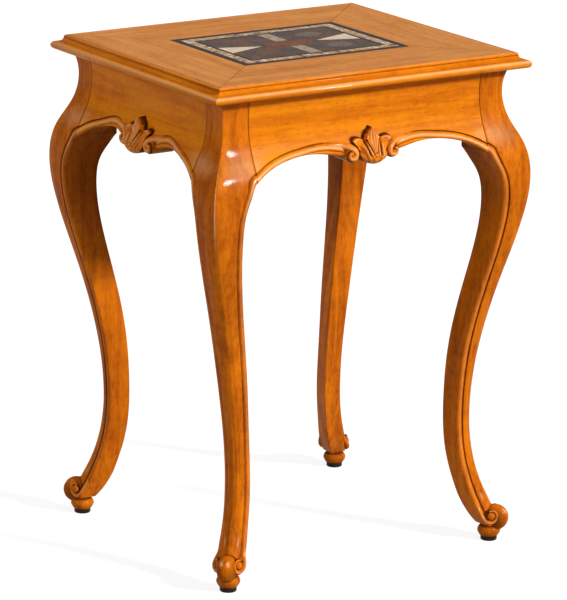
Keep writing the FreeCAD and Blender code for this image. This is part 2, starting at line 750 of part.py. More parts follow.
def frame_and_fasteners(core_blank):
    """Corner blocks, aprons, palmettes and top core, with the screws that hold them."""
    underside = size("table_height") - size("top_thickness")
    block_low = underside - size("corner_block_height")
    along_side, back_in = size("block_screw_along"), size("block_screw_back")
    drop, top_in, top_recess = size("block_screw_drop"), size("top_screw_in"), size("top_screw_recess")
    head = size("screw_head_radius")
    screws = {"block": [], "top": []}
    block_tools = {label: [] for label in CORNERS}
    apron_tools = {side: [] for side in SIDES}
    for label, (sign_x, sign_y) in CORNERS.items():
        side_y = "front" if sign_y < 0 else "back"
        side_x = "left" if sign_x < 0 else "right"
        places = {side_y: (corner_point(sign_x, sign_y, along_side, back_in, underside - drop),
                           Vector(0, sign_y, 0)),
                  side_x: (corner_point(sign_x, sign_y, back_in, along_side, underside - 2 * drop),
                           Vector(sign_x, 0, 0))}
        for side, (start, along) in places.items():
            screw = fastener(f"block_screw_{label}_{side}", start, along, "sheet.screw_radius",
                             "sheet.screw_head_radius", "sheet.screw_head_height",
                             "sheet.block_screw_length")
            counterbore = recess(f"counterbore_{label}_{side}", start - along * along_side, along,
                                 head, along_side)
            screws["block"].append(screw)
            block_tools[label] += [screw, counterbore]
            apron_tools[side].append(screw)
        start = corner_point(sign_x, sign_y, top_in, top_in, block_low + top_recess)
        screw = fastener(f"top_screw_{label}", start, Vector(0, 0, 1), "sheet.screw_radius",
                         "sheet.screw_head_radius", "sheet.screw_head_height", "sheet.top_screw_length")
        counterbore = recess(f"top_counterbore_{label}", start - Vector(0, 0, top_recess), Vector(0, 0, 1),
                             head, top_recess)
        screws["top"].append(screw)
        block_tools[label] += [screw, counterbore]
    nodes["corner_block_screws"] = bundle("corner_block_screws", screws["block"])
    nodes["top_screws"] = bundle("top_screws", screws["top"])
    cut_from("top_core", core_blank, screws["top"])
    for label, blank in corner_blocks().items():
        cut_from(f"corner_block_{label}", blank, block_tools[label])

    boards = {"front": apron_shape(half_x()), "left": apron_shape(half_y())}
    boards["back"], boards["right"] = boards["front"], boards["left"]
    carving = palmette_shape(boards["front"])
    for side, turn in SIDES.items():
        distance = half_y() if side in ("front", "back") else half_x()
        base = Rotation(Vector(0, 0, 1), turn).multVec(Vector(0, -distance, 0))
        blank = doc.addObject("Part::Feature", f"apron_blank_{side}")
        blank.Shape = boards[side]
        blank.Placement = Placement(base, Rotation(Vector(0, 0, 1), turn))
        cut_from(f"apron_{side}", blank, apron_tools[side])
        palmette = doc.addObject("Part::Feature", f"palmette_{side}")
        palmette.Shape = carving
        palmette.Placement = Placement(base, Rotation(Vector(0, 0, 1), turn))
        nodes[palmette.Label] = palmette


def feet_and_legs():
    """The four legs, each with its glide and the nail that holds the glide on."""
    sunk = size("nail_head_height")
    nails, glides, legs = {}, {}, {}
    up = Vector(0, 0, 1)
    nail = fastener("nail_front_left", foot_centre() + up * sunk, up, "sheet.nail_radius",
                    "sheet.nail_head_radius", "sheet.nail_head_height", "sheet.nail_length")
    disc = doc.addObject("Part::Cylinder", "glide_disc")
    disc.setExpression("Radius", "sheet.glide_radius")
    disc.setExpression("Height", "sheet.glide_height")
    disc.Placement = Placement(foot_centre(), Rotation())
    eased = doc.addObject("Part::Chamfer", "glide_eased")
    eased.Base = disc
    doc.recompute()
    rims = [number for number, edge in enumerate(disc.Shape.Edges, start=1)
            if edge.BoundBox.ZLength < 1e-6 and edge.BoundBox.ZMin < 1]
    ease = size("glide_ease")
    eased.Edges = [(number, ease, ease) for number in rims]
    hollow = recess("nail_recess", foot_centre(), up, size("nail_head_radius"), sunk)
    glide = cut_from("glide_front_left", eased, [nail, hollow])
    shaft = doc.addObject("Part::Feature", "leg_blank")
    shaft.Shape = leg_shape()
    leg = cut_from("leg_front_left", shaft, [nail])
    nails["front_left"], glides["front_left"], legs["front_left"] = nail, glide, leg
    for label, source, normal in (("front_right", "front_left", Vector(1, 0, 0)),
                                  ("back_left", "front_left", Vector(0, 1, 0)),
                                  ("back_right", "front_right", Vector(0, 1, 0))):
        for kind, group in (("nail", nails), ("glide", glides), ("leg", legs)):
            twin = doc.addObject("Part::Mirroring", f"{kind}_{label}")
            twin.Source = group[source]
            twin.Base = Vector(0, 0, 0)
            twin.Normal = normal
            group[label] = twin
            if kind != "nail":
                nodes[twin.Label] = twin
    nodes["glide_nails"] = bundle("glide_nails", list(nails.values()))


# Build, check and write

def check_and_write():
    """Stops on any failed object or bad shape, then writes each piece to its own file."""
    doc.recompute()
    for item in doc.Objects:
        if "Invalid" in item.State or "Error" in item.State:
            raise RuntimeError(f"{item.Label}: {item.State}")
    os.makedirs("parts", exist_ok=True)
    for label, item in nodes.items():
        if item.Label != label:
            raise RuntimeError(f"{label} is labelled {item.Label}")
        shape = item.Shape
        if shape.isNull() or not shape.isValid():
            raise RuntimeError(f"{label}: its shape is not valid")
        shape.exportStep(f"parts/{label}.step")
        box = shape.BoundBox
        print(f"{label:28s} solids {len(shape.Solids)} volume {shape.Volume / 1000:9.2f} cm3 "
              f"z {box.ZMin:7.2f} to {box.ZMax:7.2f}")
    print(len(nodes), "pieces")


edge_mouldings()
ring_strips("top_border", "sheet.face_length", "sheet.face_width",
            "((sheet.face_width - sheet.inlay_width) / 2)")
stone_panel()
frame_and_fasteners(top_core_board())
feet_and_legs()
check_and_write()
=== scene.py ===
import math

import bpy
import numpy as np
from bpy.props import FloatProperty, FloatVectorProperty, PointerProperty
from bpy.types import Operator, Panel, PropertyGroup
from mathutils import Matrix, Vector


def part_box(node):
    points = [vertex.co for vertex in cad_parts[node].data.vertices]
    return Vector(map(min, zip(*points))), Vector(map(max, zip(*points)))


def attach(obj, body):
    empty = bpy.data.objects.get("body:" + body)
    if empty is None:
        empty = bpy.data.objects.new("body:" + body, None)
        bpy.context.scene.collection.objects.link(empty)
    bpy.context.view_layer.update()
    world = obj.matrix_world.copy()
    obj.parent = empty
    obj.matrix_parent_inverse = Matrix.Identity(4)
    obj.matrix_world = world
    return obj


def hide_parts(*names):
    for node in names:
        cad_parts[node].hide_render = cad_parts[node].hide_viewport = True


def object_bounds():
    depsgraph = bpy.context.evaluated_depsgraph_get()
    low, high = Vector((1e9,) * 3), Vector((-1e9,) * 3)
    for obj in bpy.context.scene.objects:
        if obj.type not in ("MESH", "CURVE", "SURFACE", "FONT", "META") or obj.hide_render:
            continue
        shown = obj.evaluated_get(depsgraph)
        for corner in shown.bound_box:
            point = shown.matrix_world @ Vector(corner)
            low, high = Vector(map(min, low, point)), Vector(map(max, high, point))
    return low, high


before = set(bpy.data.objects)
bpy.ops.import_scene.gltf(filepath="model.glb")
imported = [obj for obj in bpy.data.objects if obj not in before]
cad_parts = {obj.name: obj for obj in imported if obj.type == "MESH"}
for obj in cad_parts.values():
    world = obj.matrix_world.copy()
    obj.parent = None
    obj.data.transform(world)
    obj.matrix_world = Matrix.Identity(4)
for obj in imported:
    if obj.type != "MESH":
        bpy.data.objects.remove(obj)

bl_info = {
    "name": "Side table with a stone panel",
    "version": (1, 0, 0),
    "blender": (4, 5, 0),
    "location": "View3D > Sidebar > Side table",
    "description": "Carved legs, aprons and mouldings, lacquered wood and polished stone for the side table",
    "category": "Object",
}

# Shapes are worked out in millimetres and put into the meshes in metres.
MM = 0.001
# The photo's longer side in pixels, which the camera's sensor spans
PHOTO_HEIGHT = 600


def frame_span(node):
    """Lowest and highest corner of a node of the frame, in millimetres."""
    low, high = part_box(node)
    return np.array(low) / MM, np.array(high) / MM


# From the frame: the table's height, half the top's face, the underside of the top, the bed of the
# border boards, and the axis of a foot
CAD_LOW, CAD_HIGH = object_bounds()
TABLE_HEIGHT = CAD_HIGH.z / MM
FACE_HALF_X = frame_span("top_border_front")[1][0]
FACE_HALF_Y = frame_span("top_border_left")[1][1]
UNDERSIDE = frame_span("top_core")[0][2]
BED = frame_span("top_border_front")[0][2]
GLIDE_LOW, GLIDE_HIGH = frame_span("glide_front_left")
FOOT_X = -(GLIDE_LOW[0] + GLIDE_HIGH[0]) / 2
FOOT_Y = -(GLIDE_LOW[1] + GLIDE_HIGH[1]) / 2

SIDES = ("front", "right", "back", "left")
CORNERS = {"front_left": (-1, -1), "front_right": (1, -1), "back_left": (-1, 1), "back_right": (1, 1)}

# The leg's two side profiles, (height, offset outwards of the square block's outer corner)
OUTER_LINE = ((19, 8), (50, -2), (77, -11), (120, -20), (190, -23), (270, -15.5), (360, 2.5),
              (440, 21), (500, 26.5), (540, 19), (575, 2.5), (603, -4), (640, 1))
INNER_LINE = ((19, -15), (34, -24), (70, -36), (120, -46), (190, -49.5), (268, -46), (350, -34),
              (420, -22.5), (468, -19.5), (500, -24), (520, -33), (535, -42), (541, -50), (551, -68))
# Above the inner line's end a leg is its square block; the faces behind the carving end there too
BLOCK_FOOT = INNER_LINE[-1][0]
# From this height up, a leg's section ends at the joint with its apron
JOINT_FOOT = 480
# An offset that lies inside of every section of a leg
DEEP_INSIDE = -80.0
# How far the feet stand out of the diagonal: inwards along X and outwards along Y, (height, shift)
SPLAY_LINE = ((0, 8), (45, 8.8), (95, 9.6), (140, 9), (200, 6.9), (260, 4.7), (330, 2.6), (420, 0.8),
              (500, 0.1), (540, 0))
# The radius of a leg's outer arris, (height, radius)
ARRIS_LINE = ((19, 7), (70, 8), (200, 9), (350, 10), (440, 10), (480, 8), (520, 5), (552, 3),
              (580, 1.6), (640, 1.2))
# An apron's lower edge, (distance in from the leg joint, height), and then its height at its peak, at the
# volutes and at the middle
ARCH_FROM_JOINT = ((0, 534), (8, 539.5), (26, 548.8), (50, 556))
ARCH_PEAK = 559.5
ARCH_AT_VOLUTE = 553
ARCH_CENTRE = 553
# How far from the middle of a side the volutes begin
VOLUTE_REACH = 42
# The palmette's outline, (distance from its middle, height), seen from its own side
CARVING_OUTLINE = ((0, 540), (6, 540.9), (12, 543.4), (18.3, 548), (20.6, 553), (19.9, 557.6), (24, 565),
                   (29, 571), (25.4, 573.9), (19.5, 574), (13, 571.6), (11.4, 569.7), (10.9, 573.5),
                   (6.9, 579), (2.5, 584.5), (0, 587.2))
CARVING_CENTRE = 550
# Half width of its middle leaf, the slit outside the bands beside the leaf, and how far leaf and
# bands stand out, each (height, value)
LEAF_EDGE = ((545, 2.2), (550, 2.7), (555, 3.4), (560, 4.6), (566, 6.9), (569.5, 8.8), (573, 9.6), (579, 6.7),
             (587, 0.3))
SLIT_LINE = ((545, 6.5), (550, 8), (557, 9), (563, 10.4), (569.5, 11.6), (572, 12))
LEAF_RISE = ((545, 10.6), (550, 10.6), (556, 10.4), (565, 10.7), (575, 12), (582, 13.4), (587, 15))
BAND_RISE = ((545, 10.6), (550, 10.2), (555, 9.2), (560, 8.4), (566, 7.6), (571, 7.2))
# The fold and the groove on each side of its cup, (height, distance from its middle)
FOLD_LINE = ((540, 2.6), (550, 6.6), (556, 8.6))
CREASE_LINE = ((541, 8.4), (550, 13.6), (556, 15.6))
# The two ends of a side lobe's rib, (distance from its middle, height)
RIB_FOOT, RIB_TIP = (11.2, 551), (17.8, 565)
KNOB_HEIGHT = 552.6
# How far a side lobe stands out, (share of the way to the outline, rise), and how square its rim is,
# (angle up from level in degrees, power)
LOBE_RISE = ((0.35, 10.4), (0.55, 9.0), (0.75, 6.6), (0.86, 5.6), (1, 5.4))
RIM_POWER = ((-90, 2.3), (-20, 2.8), (8, 4.5), (20, 9), (32, 26))
# The middle of a volute's rope, (distance from the palmette's middle, height), and its radius there
VOLUTE_PATH = ((74, 567.6), (60, 567), (45, 566), (33, 563.2), (27, 558.6), (25.4, 554), (27.4, 550.2),
               (31.4, 549), (35.2, 551), (36, 554.6), (34.2, 557), (32, 556.4))
VOLUTE_RADII = (4.2, 4.5, 4.8, 5.0, 4.6, 4.0, 3.4, 3.0, 2.6, 2.1, 1.6, 1.1)
# The axis of a volute's core, (distance from the palmette's middle, height)
VOLUTE_CENTRE = (30.6, 552.8)
# How far the rope's crest and the core that it winds round stand out of the blocks' face
VOLUTE_CREST = 17.4
VOLUTE_CORE = 14.2
# How far the rope's crest is off the apron's face, and how much deeper it starts, in the apron's bead
VOLUTE_CLEARANCE, VOLUTE_SUNK = 0.4, 2.4
# The radius of a volute's eye and the height of its dome
VOLUTE_EYE, VOLUTE_DOME = 2.3, 3.0
VOLUTE_STEPS = 24


# Settings that a user would change

class SideTableSizes(PropertyGroup):
    """Sizes of the carved and turned wood"""
    leg_inset: FloatProperty(
        name="Leg inset", description="Leg blocks' distance in from the edge of the top face",
        default=0.004, unit="LENGTH")
    leg_block: FloatProperty(
        name="Leg block", description="Width of the square block at the head of a leg",
        default=0.042, unit="LENGTH")
    corner_swell: FloatProperty(
        name="Inner corner", description="How far a leg's inner corner stands out of square",
        default=0.0034, unit="LENGTH")
    crown: FloatProperty(
        name="Crown", description="Roundness across the front of a leg",
        default=0.0016, unit="LENGTH")
    apron_back: FloatProperty(
        name="Apron back", description="Depth of the aprons' flat back behind the blocks' face",
        default=0.022, unit="LENGTH")
    bead_width: FloatProperty(
        name="Bead width", description="Width of the bead along legs and aprons",
        default=0.009, unit="LENGTH")
    bead_rise: FloatProperty(
        name="Bead rise", description="Height of the bead's round side",
        default=0.004, unit="LENGTH")
    quirk_depth: FloatProperty(
        name="Quirk depth", description="Depth of the groove beside the bead",
        default=0.0022, unit="LENGTH")
    quirk_width: FloatProperty(
        name="Quirk width", description="Width of the groove beside the bead",
        default=0.0009, unit="LENGTH")
    joint_line: FloatProperty(
        name="Joint line", description="Depth of the eased edge where two pieces of wood meet",
        default=0.0007, unit="LENGTH")
    roll_radius: FloatProperty(
        name="Scroll radius", description="Radius of the scroll that each leg ends in",
        default=0.0173, unit="LENGTH")
    roll_half: FloatProperty(
        name="Scroll half width", description="Half the width of the scroll",
        default=0.0128, unit="LENGTH")
    small_bead: FloatProperty(
        name="Small bead", description="Width of the second bead under the first, near the volutes",
        default=0.0054, unit="LENGTH")
    eye_radius: FloatProperty(
        name="Eye radius", description="Radius of the domed eye of a foot's volute",
        default=0.0054, unit="LENGTH")
    pad_radius: FloatProperty(
        name="Pad radius", description="Largest radius of the turned pad under a scroll",
        default=0.0156, unit="LENGTH")
    pad_height: FloatProperty(
        name="Pad height", description="Height of the top of the turned pad above the floor",
        default=0.019, unit="LENGTH")
    carving_rise: FloatProperty(
        name="Carving rise", description="How far the palmette's cup stands off the apron",
        default=0.0108, unit="LENGTH")


class SideTableColours(PropertyGroup):
    """Colours of the wood, the stone and the fittings"""
    wood_light: FloatVectorProperty(
        name="Wood, light", description="Pale bands of the legs' wood",
        default=(0.8, 0.2, 0.003), subtype="COLOR")
    wood_dark: FloatVectorProperty(
        name="Wood, dark", description="Dark streaks of the legs' wood",
        default=(0.41, 0.078, 0.001), subtype="COLOR")
    apron_light: FloatVectorProperty(
        name="Apron, light", description="Pale bands of the aprons', carvings' and mouldings' wood",
        default=(0.93, 0.285, 0.004), subtype="COLOR")
    apron_dark: FloatVectorProperty(
        name="Apron, dark", description="Dark streaks of the aprons', carvings' and mouldings' wood",
        default=(0.64, 0.145, 0.002), subtype="COLOR")
    top_light: FloatVectorProperty(
        name="Top, light", description="Pale bands of the top's veneer",
        default=(0.84, 0.34, 0.085), subtype="COLOR")
    top_dark: FloatVectorProperty(
        name="Top, dark", description="Dark streaks of the top's veneer",
        default=(0.62, 0.21, 0.045), subtype="COLOR")
    # Dark colour of the fine flecks and joint lines, and of the painted shade in quirks, creases and carving
    recess: FloatVectorProperty(
        name="Recess", description="Dark stain left in quirks and carving",
        default=(0.085, 0.022, 0.004), subtype="COLOR")
    # Pale colour of worn crests, which also paints the highlights on beads, ridges, knees and ankles
    rubbed: FloatVectorProperty(
        name="Rubbed ridges", description="Pale wood where crests and ridges are worn",
        default=(1.0, 0.56, 0.25), subtype="COLOR")
    bare_light: FloatVectorProperty(
        name="Bare wood, light", description="Pale bands of the unfinished inner wood",
        default=(0.42, 0.21, 0.09), subtype="COLOR")
    bare_dark: FloatVectorProperty(
        name="Bare wood, dark", description="Dark streaks of the unfinished inner wood",
        default=(0.3, 0.14, 0.055), subtype="COLOR")
    stone_black: FloatVectorProperty(
        name="Black stone", description="Strips round the panel",
        default=(0.03, 0.026, 0.026), subtype="COLOR")
    stone_field: FloatVectorProperty(
        name="Field stone", description="Ground of the panel",
        default=(0.15, 0.1, 0.078), subtype="COLOR")
    stone_cream: FloatVectorProperty(
        name="Cream stone", description="Pale tesserae of the mosaic strips",
        default=(0.78, 0.5, 0.29), subtype="COLOR")
    stone_tan: FloatVectorProperty(
        name="Tan stone", description="Warm tesserae of the mosaic strips",
        default=(0.68, 0.36, 0.16), subtype="COLOR")
    stone_grey: FloatVectorProperty(
        name="Grey stone", description="Two rounded stones",
        default=(0.25, 0.18, 0.14), subtype="COLOR")
    stone_brown: FloatVectorProperty(
        name="Brown stone", description="Two rounded stones",
        default=(0.24, 0.095, 0.05), subtype="COLOR")
    stone_ivory: FloatVectorProperty(
        name="Ivory stone", description="Two wedges",
        default=(0.95, 0.76, 0.56), subtype="COLOR")
    stone_speckled: FloatVectorProperty(
        name="Speckled stone", description="Two bars",
        default=(0.62, 0.46, 0.33), subtype="COLOR")
    stone_red: FloatVectorProperty(
        name="Red stone", description="Centre lozenge",
        default=(0.34, 0.1, 0.03), subtype="COLOR")
    stone_vein: FloatVectorProperty(
        name="Veins", description="Veins in the field stone",
        default=(0.2, 0.09, 0.05), subtype="COLOR")
    tessera_pale: FloatVectorProperty(
        name="Pale tesserae", description="Palest tesserae of the mosaic strips",
        default=(0.95, 0.74, 0.54), subtype="COLOR")
    tessera_brown: FloatVectorProperty(
        name="Brown tesserae", description="Darkest tesserae of the mosaic strips",
        default=(0.3, 0.13, 0.055), subtype="COLOR")
    mosaic_joint: FloatVectorProperty(
        name="Mosaic joints", description="Joints between the tesserae",
        default=(0.05, 0.035, 0.025), subtype="COLOR")
    glide: FloatVectorProperty(
        name="Glide", description="Dark discs under the feet",
        default=(0.02, 0.012, 0.01), subtype="COLOR")
    steel: FloatVectorProperty(
        name="Steel", description="Screws and nails",
        default=(0.55, 0.55, 0.56), subtype="COLOR")


class SideTableStage(PropertyGroup):
    """The photo's camera and the strength of the light"""
    camera_place: FloatVectorProperty(
        name="Camera", description="Where the camera stands",
        default=(-2.7641, -4.3078, 1.699), subtype="TRANSLATION", unit="LENGTH")
    camera_yaw: FloatProperty(
        name="Yaw", description="Turn of the view from +Y towards +X",
        default=math.radians(32.644), subtype="ANGLE")
    camera_pitch: FloatProperty(
        name="Pitch", description="Dip of the view below level",
        default=math.radians(15.148), subtype="ANGLE")
    camera_roll: FloatProperty(
        name="Roll", description="Turn of the picture about the view",
        default=math.radians(0.664), subtype="ANGLE")
    focal_pixels: FloatProperty(
        name="Focal length in pixels", description="Focal length measured in photo pixels",
        default=4002.0)
    key_strength: FloatProperty(
        name="Key light", description="Strength of the light on the front",
        default=3.1)
    fill_strength: FloatProperty(
        name="Fill light", description="Strength of the light on the left",
        default=0.56)
    sky_strength: FloatProperty(
        name="Sky", description="Strength of the light from all round",
        default=0.34)


def sizes():
    """The size settings, read in millimetres."""
    settings = bpy.context.scene.side_table_sizes
    return {name: getattr(settings, name) / MM for name in SideTableSizes.__annotations__}


def colour(name):
    """A colour setting with full opacity."""
    return tuple(getattr(bpy.context.scene.side_table_colours, name)) + (1.0,)


# Curves and surfaces

def smooth_curve(points):
    """A smooth curve through (place, value) points, as a function of whole arrays.

    Place and value are both cubics of the distance along the points' polygon. Their second
    derivatives m solve h0 m0 + 2 (h0 + h1) m1 + h1 m2 = 6 (slope1 - slope0), where h are the
    polygon's sides, and the slopes at both ends are those of the cubic through the last four points.
    """
    knots = np.array(sorted(points), float)
    step = np.hypot(*np.diff(knots, axis=0).T)
    along = np.concatenate([[0], np.cumsum(step)])
    slope = np.diff(knots, axis=0) / step[:, None]
    count = len(knots)
    ends = [np.array([np.polyval(np.polyder(np.polyfit(along[part], knots[part, k], 3)), along[spot])
                      for k in (0, 1)]) for part, spot in ((slice(0, 4), 0), (slice(count - 4, count), -1))]
    matrix, right = np.zeros((count, count)), np.zeros((count, 2))
    inner = np.arange(1, count - 1)
    matrix[inner, inner - 1] = step[:-1]
    matrix[inner, inner] = 2 * (step[:-1] + step[1:])
    matrix[inner, inner + 1] = step[1:]
    right[inner] = 6 * np.diff(slope, axis=0)
    matrix[0, :2] = 2 * step[0], step[0]
    right[0] = 6 * (slope[0] - ends[0])
    matrix[-1, -2:] = step[-1], 2 * step[-1]
    right[-1] = 6 * (ends[1] - slope[-1])
    bend = np.linalg.solve(matrix, right)
    fine = np.linspace(0, along[-1], 3001)
    k = np.clip(np.searchsorted(along, fine) - 1, 0, count - 2)
    past, ahead, h = (fine - along[k])[:, None], (along[k + 1] - fine)[:, None], step[k][:, None]
    curve = ((bend[k] * ahead ** 3 + bend[k + 1] * past ** 3) / (6 * h)
             + (knots[k] / h - bend[k] * h / 6) * ahead + (knots[k + 1] / h - bend[k + 1] * h / 6) * past)
    return lambda where: np.interp(where, curve[:, 0], curve[:, 1])


outer_at = smooth_curve(OUTER_LINE)
inner_at = smooth_curve(INNER_LINE)
splay_at = smooth_curve(SPLAY_LINE)


def fading(value, low, high):
    """0 below low, 1 above high, and a smooth step 3 k^2 - 2 k^3 between them."""
    share = np.clip((value - low) / (high - low), 0, 1)
    return share * share * (3 - 2 * share)


def along_path(knots, count):
    """Points of a smooth curve through knots: each coordinate is a smooth curve of the distance run."""
    knots = np.asarray(knots, float)
    run = np.concatenate([[0], np.cumsum(np.linalg.norm(np.diff(knots, axis=0), axis=1))])
    place = np.linspace(0, run[-1], count)
    return np.stack([smooth_curve(list(zip(run, column)))(place) for column in knots.T], -1), place, run


def bell(distance, width):
    """1 at no distance, and less on both sides of it: exp(-(distance / width) ** 2)."""
    return np.exp(-(distance / width) ** 2)


def straight(points, where):
    """The value at each place, straight between (place, value) points."""
    return np.interp(where, *np.array(points, float).T)


def arris_at(height):
    """Radius of the leg's outer arris at each height."""
    return straight(ARRIS_LINE, height)


# The last turn of a bead's round, at its quirk
BEAD_END = math.radians(150)


def ridge_highlight(turn):
    """A painted highlight on a round, as its recess value: -0.75 on its crest, which is at a turn of 90
    degrees; it also stands for wear there.
    """
    return -0.75 * bell(turn - math.pi / 2, math.radians(26))


def with_painted_shade(recess, shading_and_joints):
    """Recess values with painted shade laid over them where there is any, and painted highlights on ridges
    kept elsewhere.
    """
    return np.where(shading_and_joints > 0.1, np.maximum(recess, shading_and_joints), recess)


def shell(grid, recess):
    """A closed skin from a grid of rings: rows of points, each row a closed ring.

    Quads join each ring to the next, and one flat face closes each end.
    Returns the points, the quads, the two end faces and the recess value of each point.
    """
    rows, columns = grid.shape[:2]
    shade = np.broadcast_to(recess, (rows, columns)).reshape(-1)
    row, column = np.meshgrid(np.arange(rows - 1), np.arange(columns), indexing="ij")
    after = (column + 1) % columns
    quads = np.stack([row * columns + column, row * columns + after,
                      (row + 1) * columns + after, (row + 1) * columns + column], -1).reshape(-1, 4)
    ends = np.array([np.arange(columns)[::-1], (rows - 1) * columns + np.arange(columns)])
    return grid.reshape(-1, 3), quads, ends, shade


def turned_outwards(skin):
    """The same skin with its faces pointing outwards: its signed volume is made positive."""
    points, quads, ends, shade = skin
    volume = 0.0
    for faces in (quads, ends):
        for k in range(1, faces.shape[1] - 1):
            a, b, c = points[faces[:, 0]], points[faces[:, k]], points[faces[:, k + 1]]
            volume += np.einsum("ij,ij->", a, np.cross(b, c))
    return skin if volume > 0 else (points, quads[:, ::-1], ends[:, ::-1], shade)


def piece(name, skins, material, replaced):
    """One object from closed skins, riding on the frame in place of the replaced nodes."""
    points, faces, shades, count = [], [], [], 0
    for skin in skins:
        own, quads, ends, shade = turned_outwards(skin)
        points.append(own)
        shades.append(shade)
        faces += (quads + count).tolist() + (ends + count).tolist()
        count += len(own)
    mesh = bpy.data.meshes.new(name)
    mesh.from_pydata((np.vstack(points) * MM).tolist(), [], faces)
    # The recess attribute carries painted shade, painted highlights and the dark joint lines
    shading_and_joints = mesh.attributes.new("recess", "FLOAT", "POINT")
    shading_and_joints.data.foreach_set("value", np.concatenate(shades).astype(np.float32))
    mesh.shade_smooth()
    mesh.set_sharp_from_angle(angle=math.radians(38))
    mesh.materials.append(material)
    made = bpy.data.objects.new(name, mesh)
    bpy.context.scene.collection.objects.link(made)
    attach(made, "root")
    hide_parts(*replaced)
    return made


# Points round a turned form, where no other number is given
ROUND_STEPS = 48


def revolved(radii, lengths, base, along, across, steps=ROUND_STEPS):
    """A round form: the ring at each length along the axis has the radius given there.

    point = base + length * along + radius * (cos(turn) * across + sin(turn) * along x across)
    """
    turn = np.linspace(0, 2 * math.pi, steps, endpoint=False)
    side = np.cross(along, across)
    ring = np.cos(turn)[:, None] * across + np.sin(turn)[:, None] * side
    return base + lengths[:, None, None] * along + radii[:, None, None] * ring


def tube(path, radii, across, steps):
    """A tapering round rope along a path that is roughly in a plane.

    point = path + radius * (cos(turn) * side + sin(turn) * over), where side is across x the path's
    direction, across being the plane's normal, and over is the direction x side.
    """
    heading = np.gradient(path, axis=0)
    heading /= np.linalg.norm(heading, axis=1)[:, None]
    side = np.cross(across, heading)
    side /= np.linalg.norm(side, axis=1)[:, None]
    over = np.cross(heading, side)
    turn = np.linspace(0, 2 * math.pi, steps, endpoint=False)
    ring = np.cos(turn)[None, :, None] * side[:, None] + np.sin(turn)[None, :, None] * over[:, None]
    return path[:, None] + radii[:, None, None] * ring


# Material groups and nodes

def fill(tree, node, inputs):
    """Gives a node its inputs: a socket is linked and a value is written."""
    for name, value in inputs.items():
        socket = node.inputs[name]
        if isinstance(value, bpy.types.NodeSocket):
            tree.links.new(value, socket)
        else:
            socket.default_value = value
    return node


def add(tree, kind, inputs=None, **settings):
    """A node with its settings made and its inputs set or linked."""
    made = tree.nodes.new(kind)
    for name, value in settings.items():
        setattr(made, name, value)
    return fill(tree, made, inputs or {})


def maths(tree, operation, first, second=0.0, clamp=False):
    """The result of a Math node."""
    return add(tree, "ShaderNodeMath", {0: first, 1: second}, operation=operation, use_clamp=clamp).outputs[0]


def plus(tree, first, second, clamp=False):
    """The sum of two values."""
    return maths(tree, "ADD", first, second, clamp)


def times(tree, first, second):
    """The product of two values."""
    return maths(tree, "MULTIPLY", first, second)


def ramp(tree, value, low, high, to_low=0.0, to_high=1.0):
    """A value moved smoothly from one range to another."""
    return add(tree, "ShaderNodeMapRange", {"Value": value, "From Min": low, "From Max": high,
                                            "To Min": to_low, "To Max": to_high},
               interpolation_type="SMOOTHSTEP").outputs[0]


def blend_colours(tree, share, first, second, kind="MIX"):
    """Two colours mixed by a share."""
    # A Mix node's inputs 0, 6 and 7 are its factor and its two colours, and output 2 is their blend
    return add(tree, "ShaderNodeMix", {0: share, 6: first, 7: second}, data_type="RGBA",
               blend_type=kind).outputs[2]


def stretched(tree, vector, scale):
    """A vector scaled along each axis, by three values or by one value's socket."""
    return add(tree, "ShaderNodeVectorMath", {0: vector, 1: scale}, operation="MULTIPLY").outputs[0]


def noise(tree, vector, detail=3.0, roughness=0.5, distortion=0.0):
    """Smooth noise at scale 1 of a vector."""
    return add(tree, "ShaderNodeTexNoise", {"Vector": vector, "Scale": 1.0, "Detail": detail,
                                            "Roughness": roughness, "Distortion": distortion}).outputs[0]


def new_group(name, inputs, outputs):
    """An empty node group with these inputs and outputs: a socket type by each name.

    Returns the tree, what it is given, by name, and the node that takes its results.
    """
    tree = bpy.data.node_groups.new(name, "ShaderNodeTree")
    for label, kind in inputs.items():
        tree.interface.new_socket(label, in_out="INPUT", socket_type=kind)
    for label, kind in outputs.items():
        tree.interface.new_socket(label, in_out="OUTPUT", socket_type=kind)
    return tree, tree.nodes.new("NodeGroupInput").outputs, tree.nodes.new("NodeGroupOutput")


# The noises in the wood's figure: stretch across X, Y and Z, detail, roughness, distortion
WOOD_NOISES = {
    "streaks": ((4.0, 70.0, 70.0), 5.0, 0.62, 0.6),
    "clouds": ((9.0, 22.0, 22.0), 3.0, 0.5, 0.3),
    "curl": ((60.0, 16.0, 16.0), 2.0, 0.5, 0.8),
    "mottle": ((90.0, 240.0, 240.0), 3.0, 0.65),
    "fibres": ((45.0, 1400.0, 1400.0), 3.0, 0.6),
    "flecks": ((170.0, 520.0, 520.0), 2.0, 0.55),
}
# Where a noise mixes in the dark wood, or the stain: it starts, it is full, and how much that is
WOOD_DARKENING = {"streaks": (0.36, 0.66, 0.55), "clouds": (0.35, 0.7, 0.35), "curl": (0.4, 0.7, 0.14),
                  "mottle": (0.4, 0.7, 0.3)}
WOOD_STAINING = {"fibres": (0.56, 0.7, 0.26), "flecks": (0.66, 0.74, 0.5)}


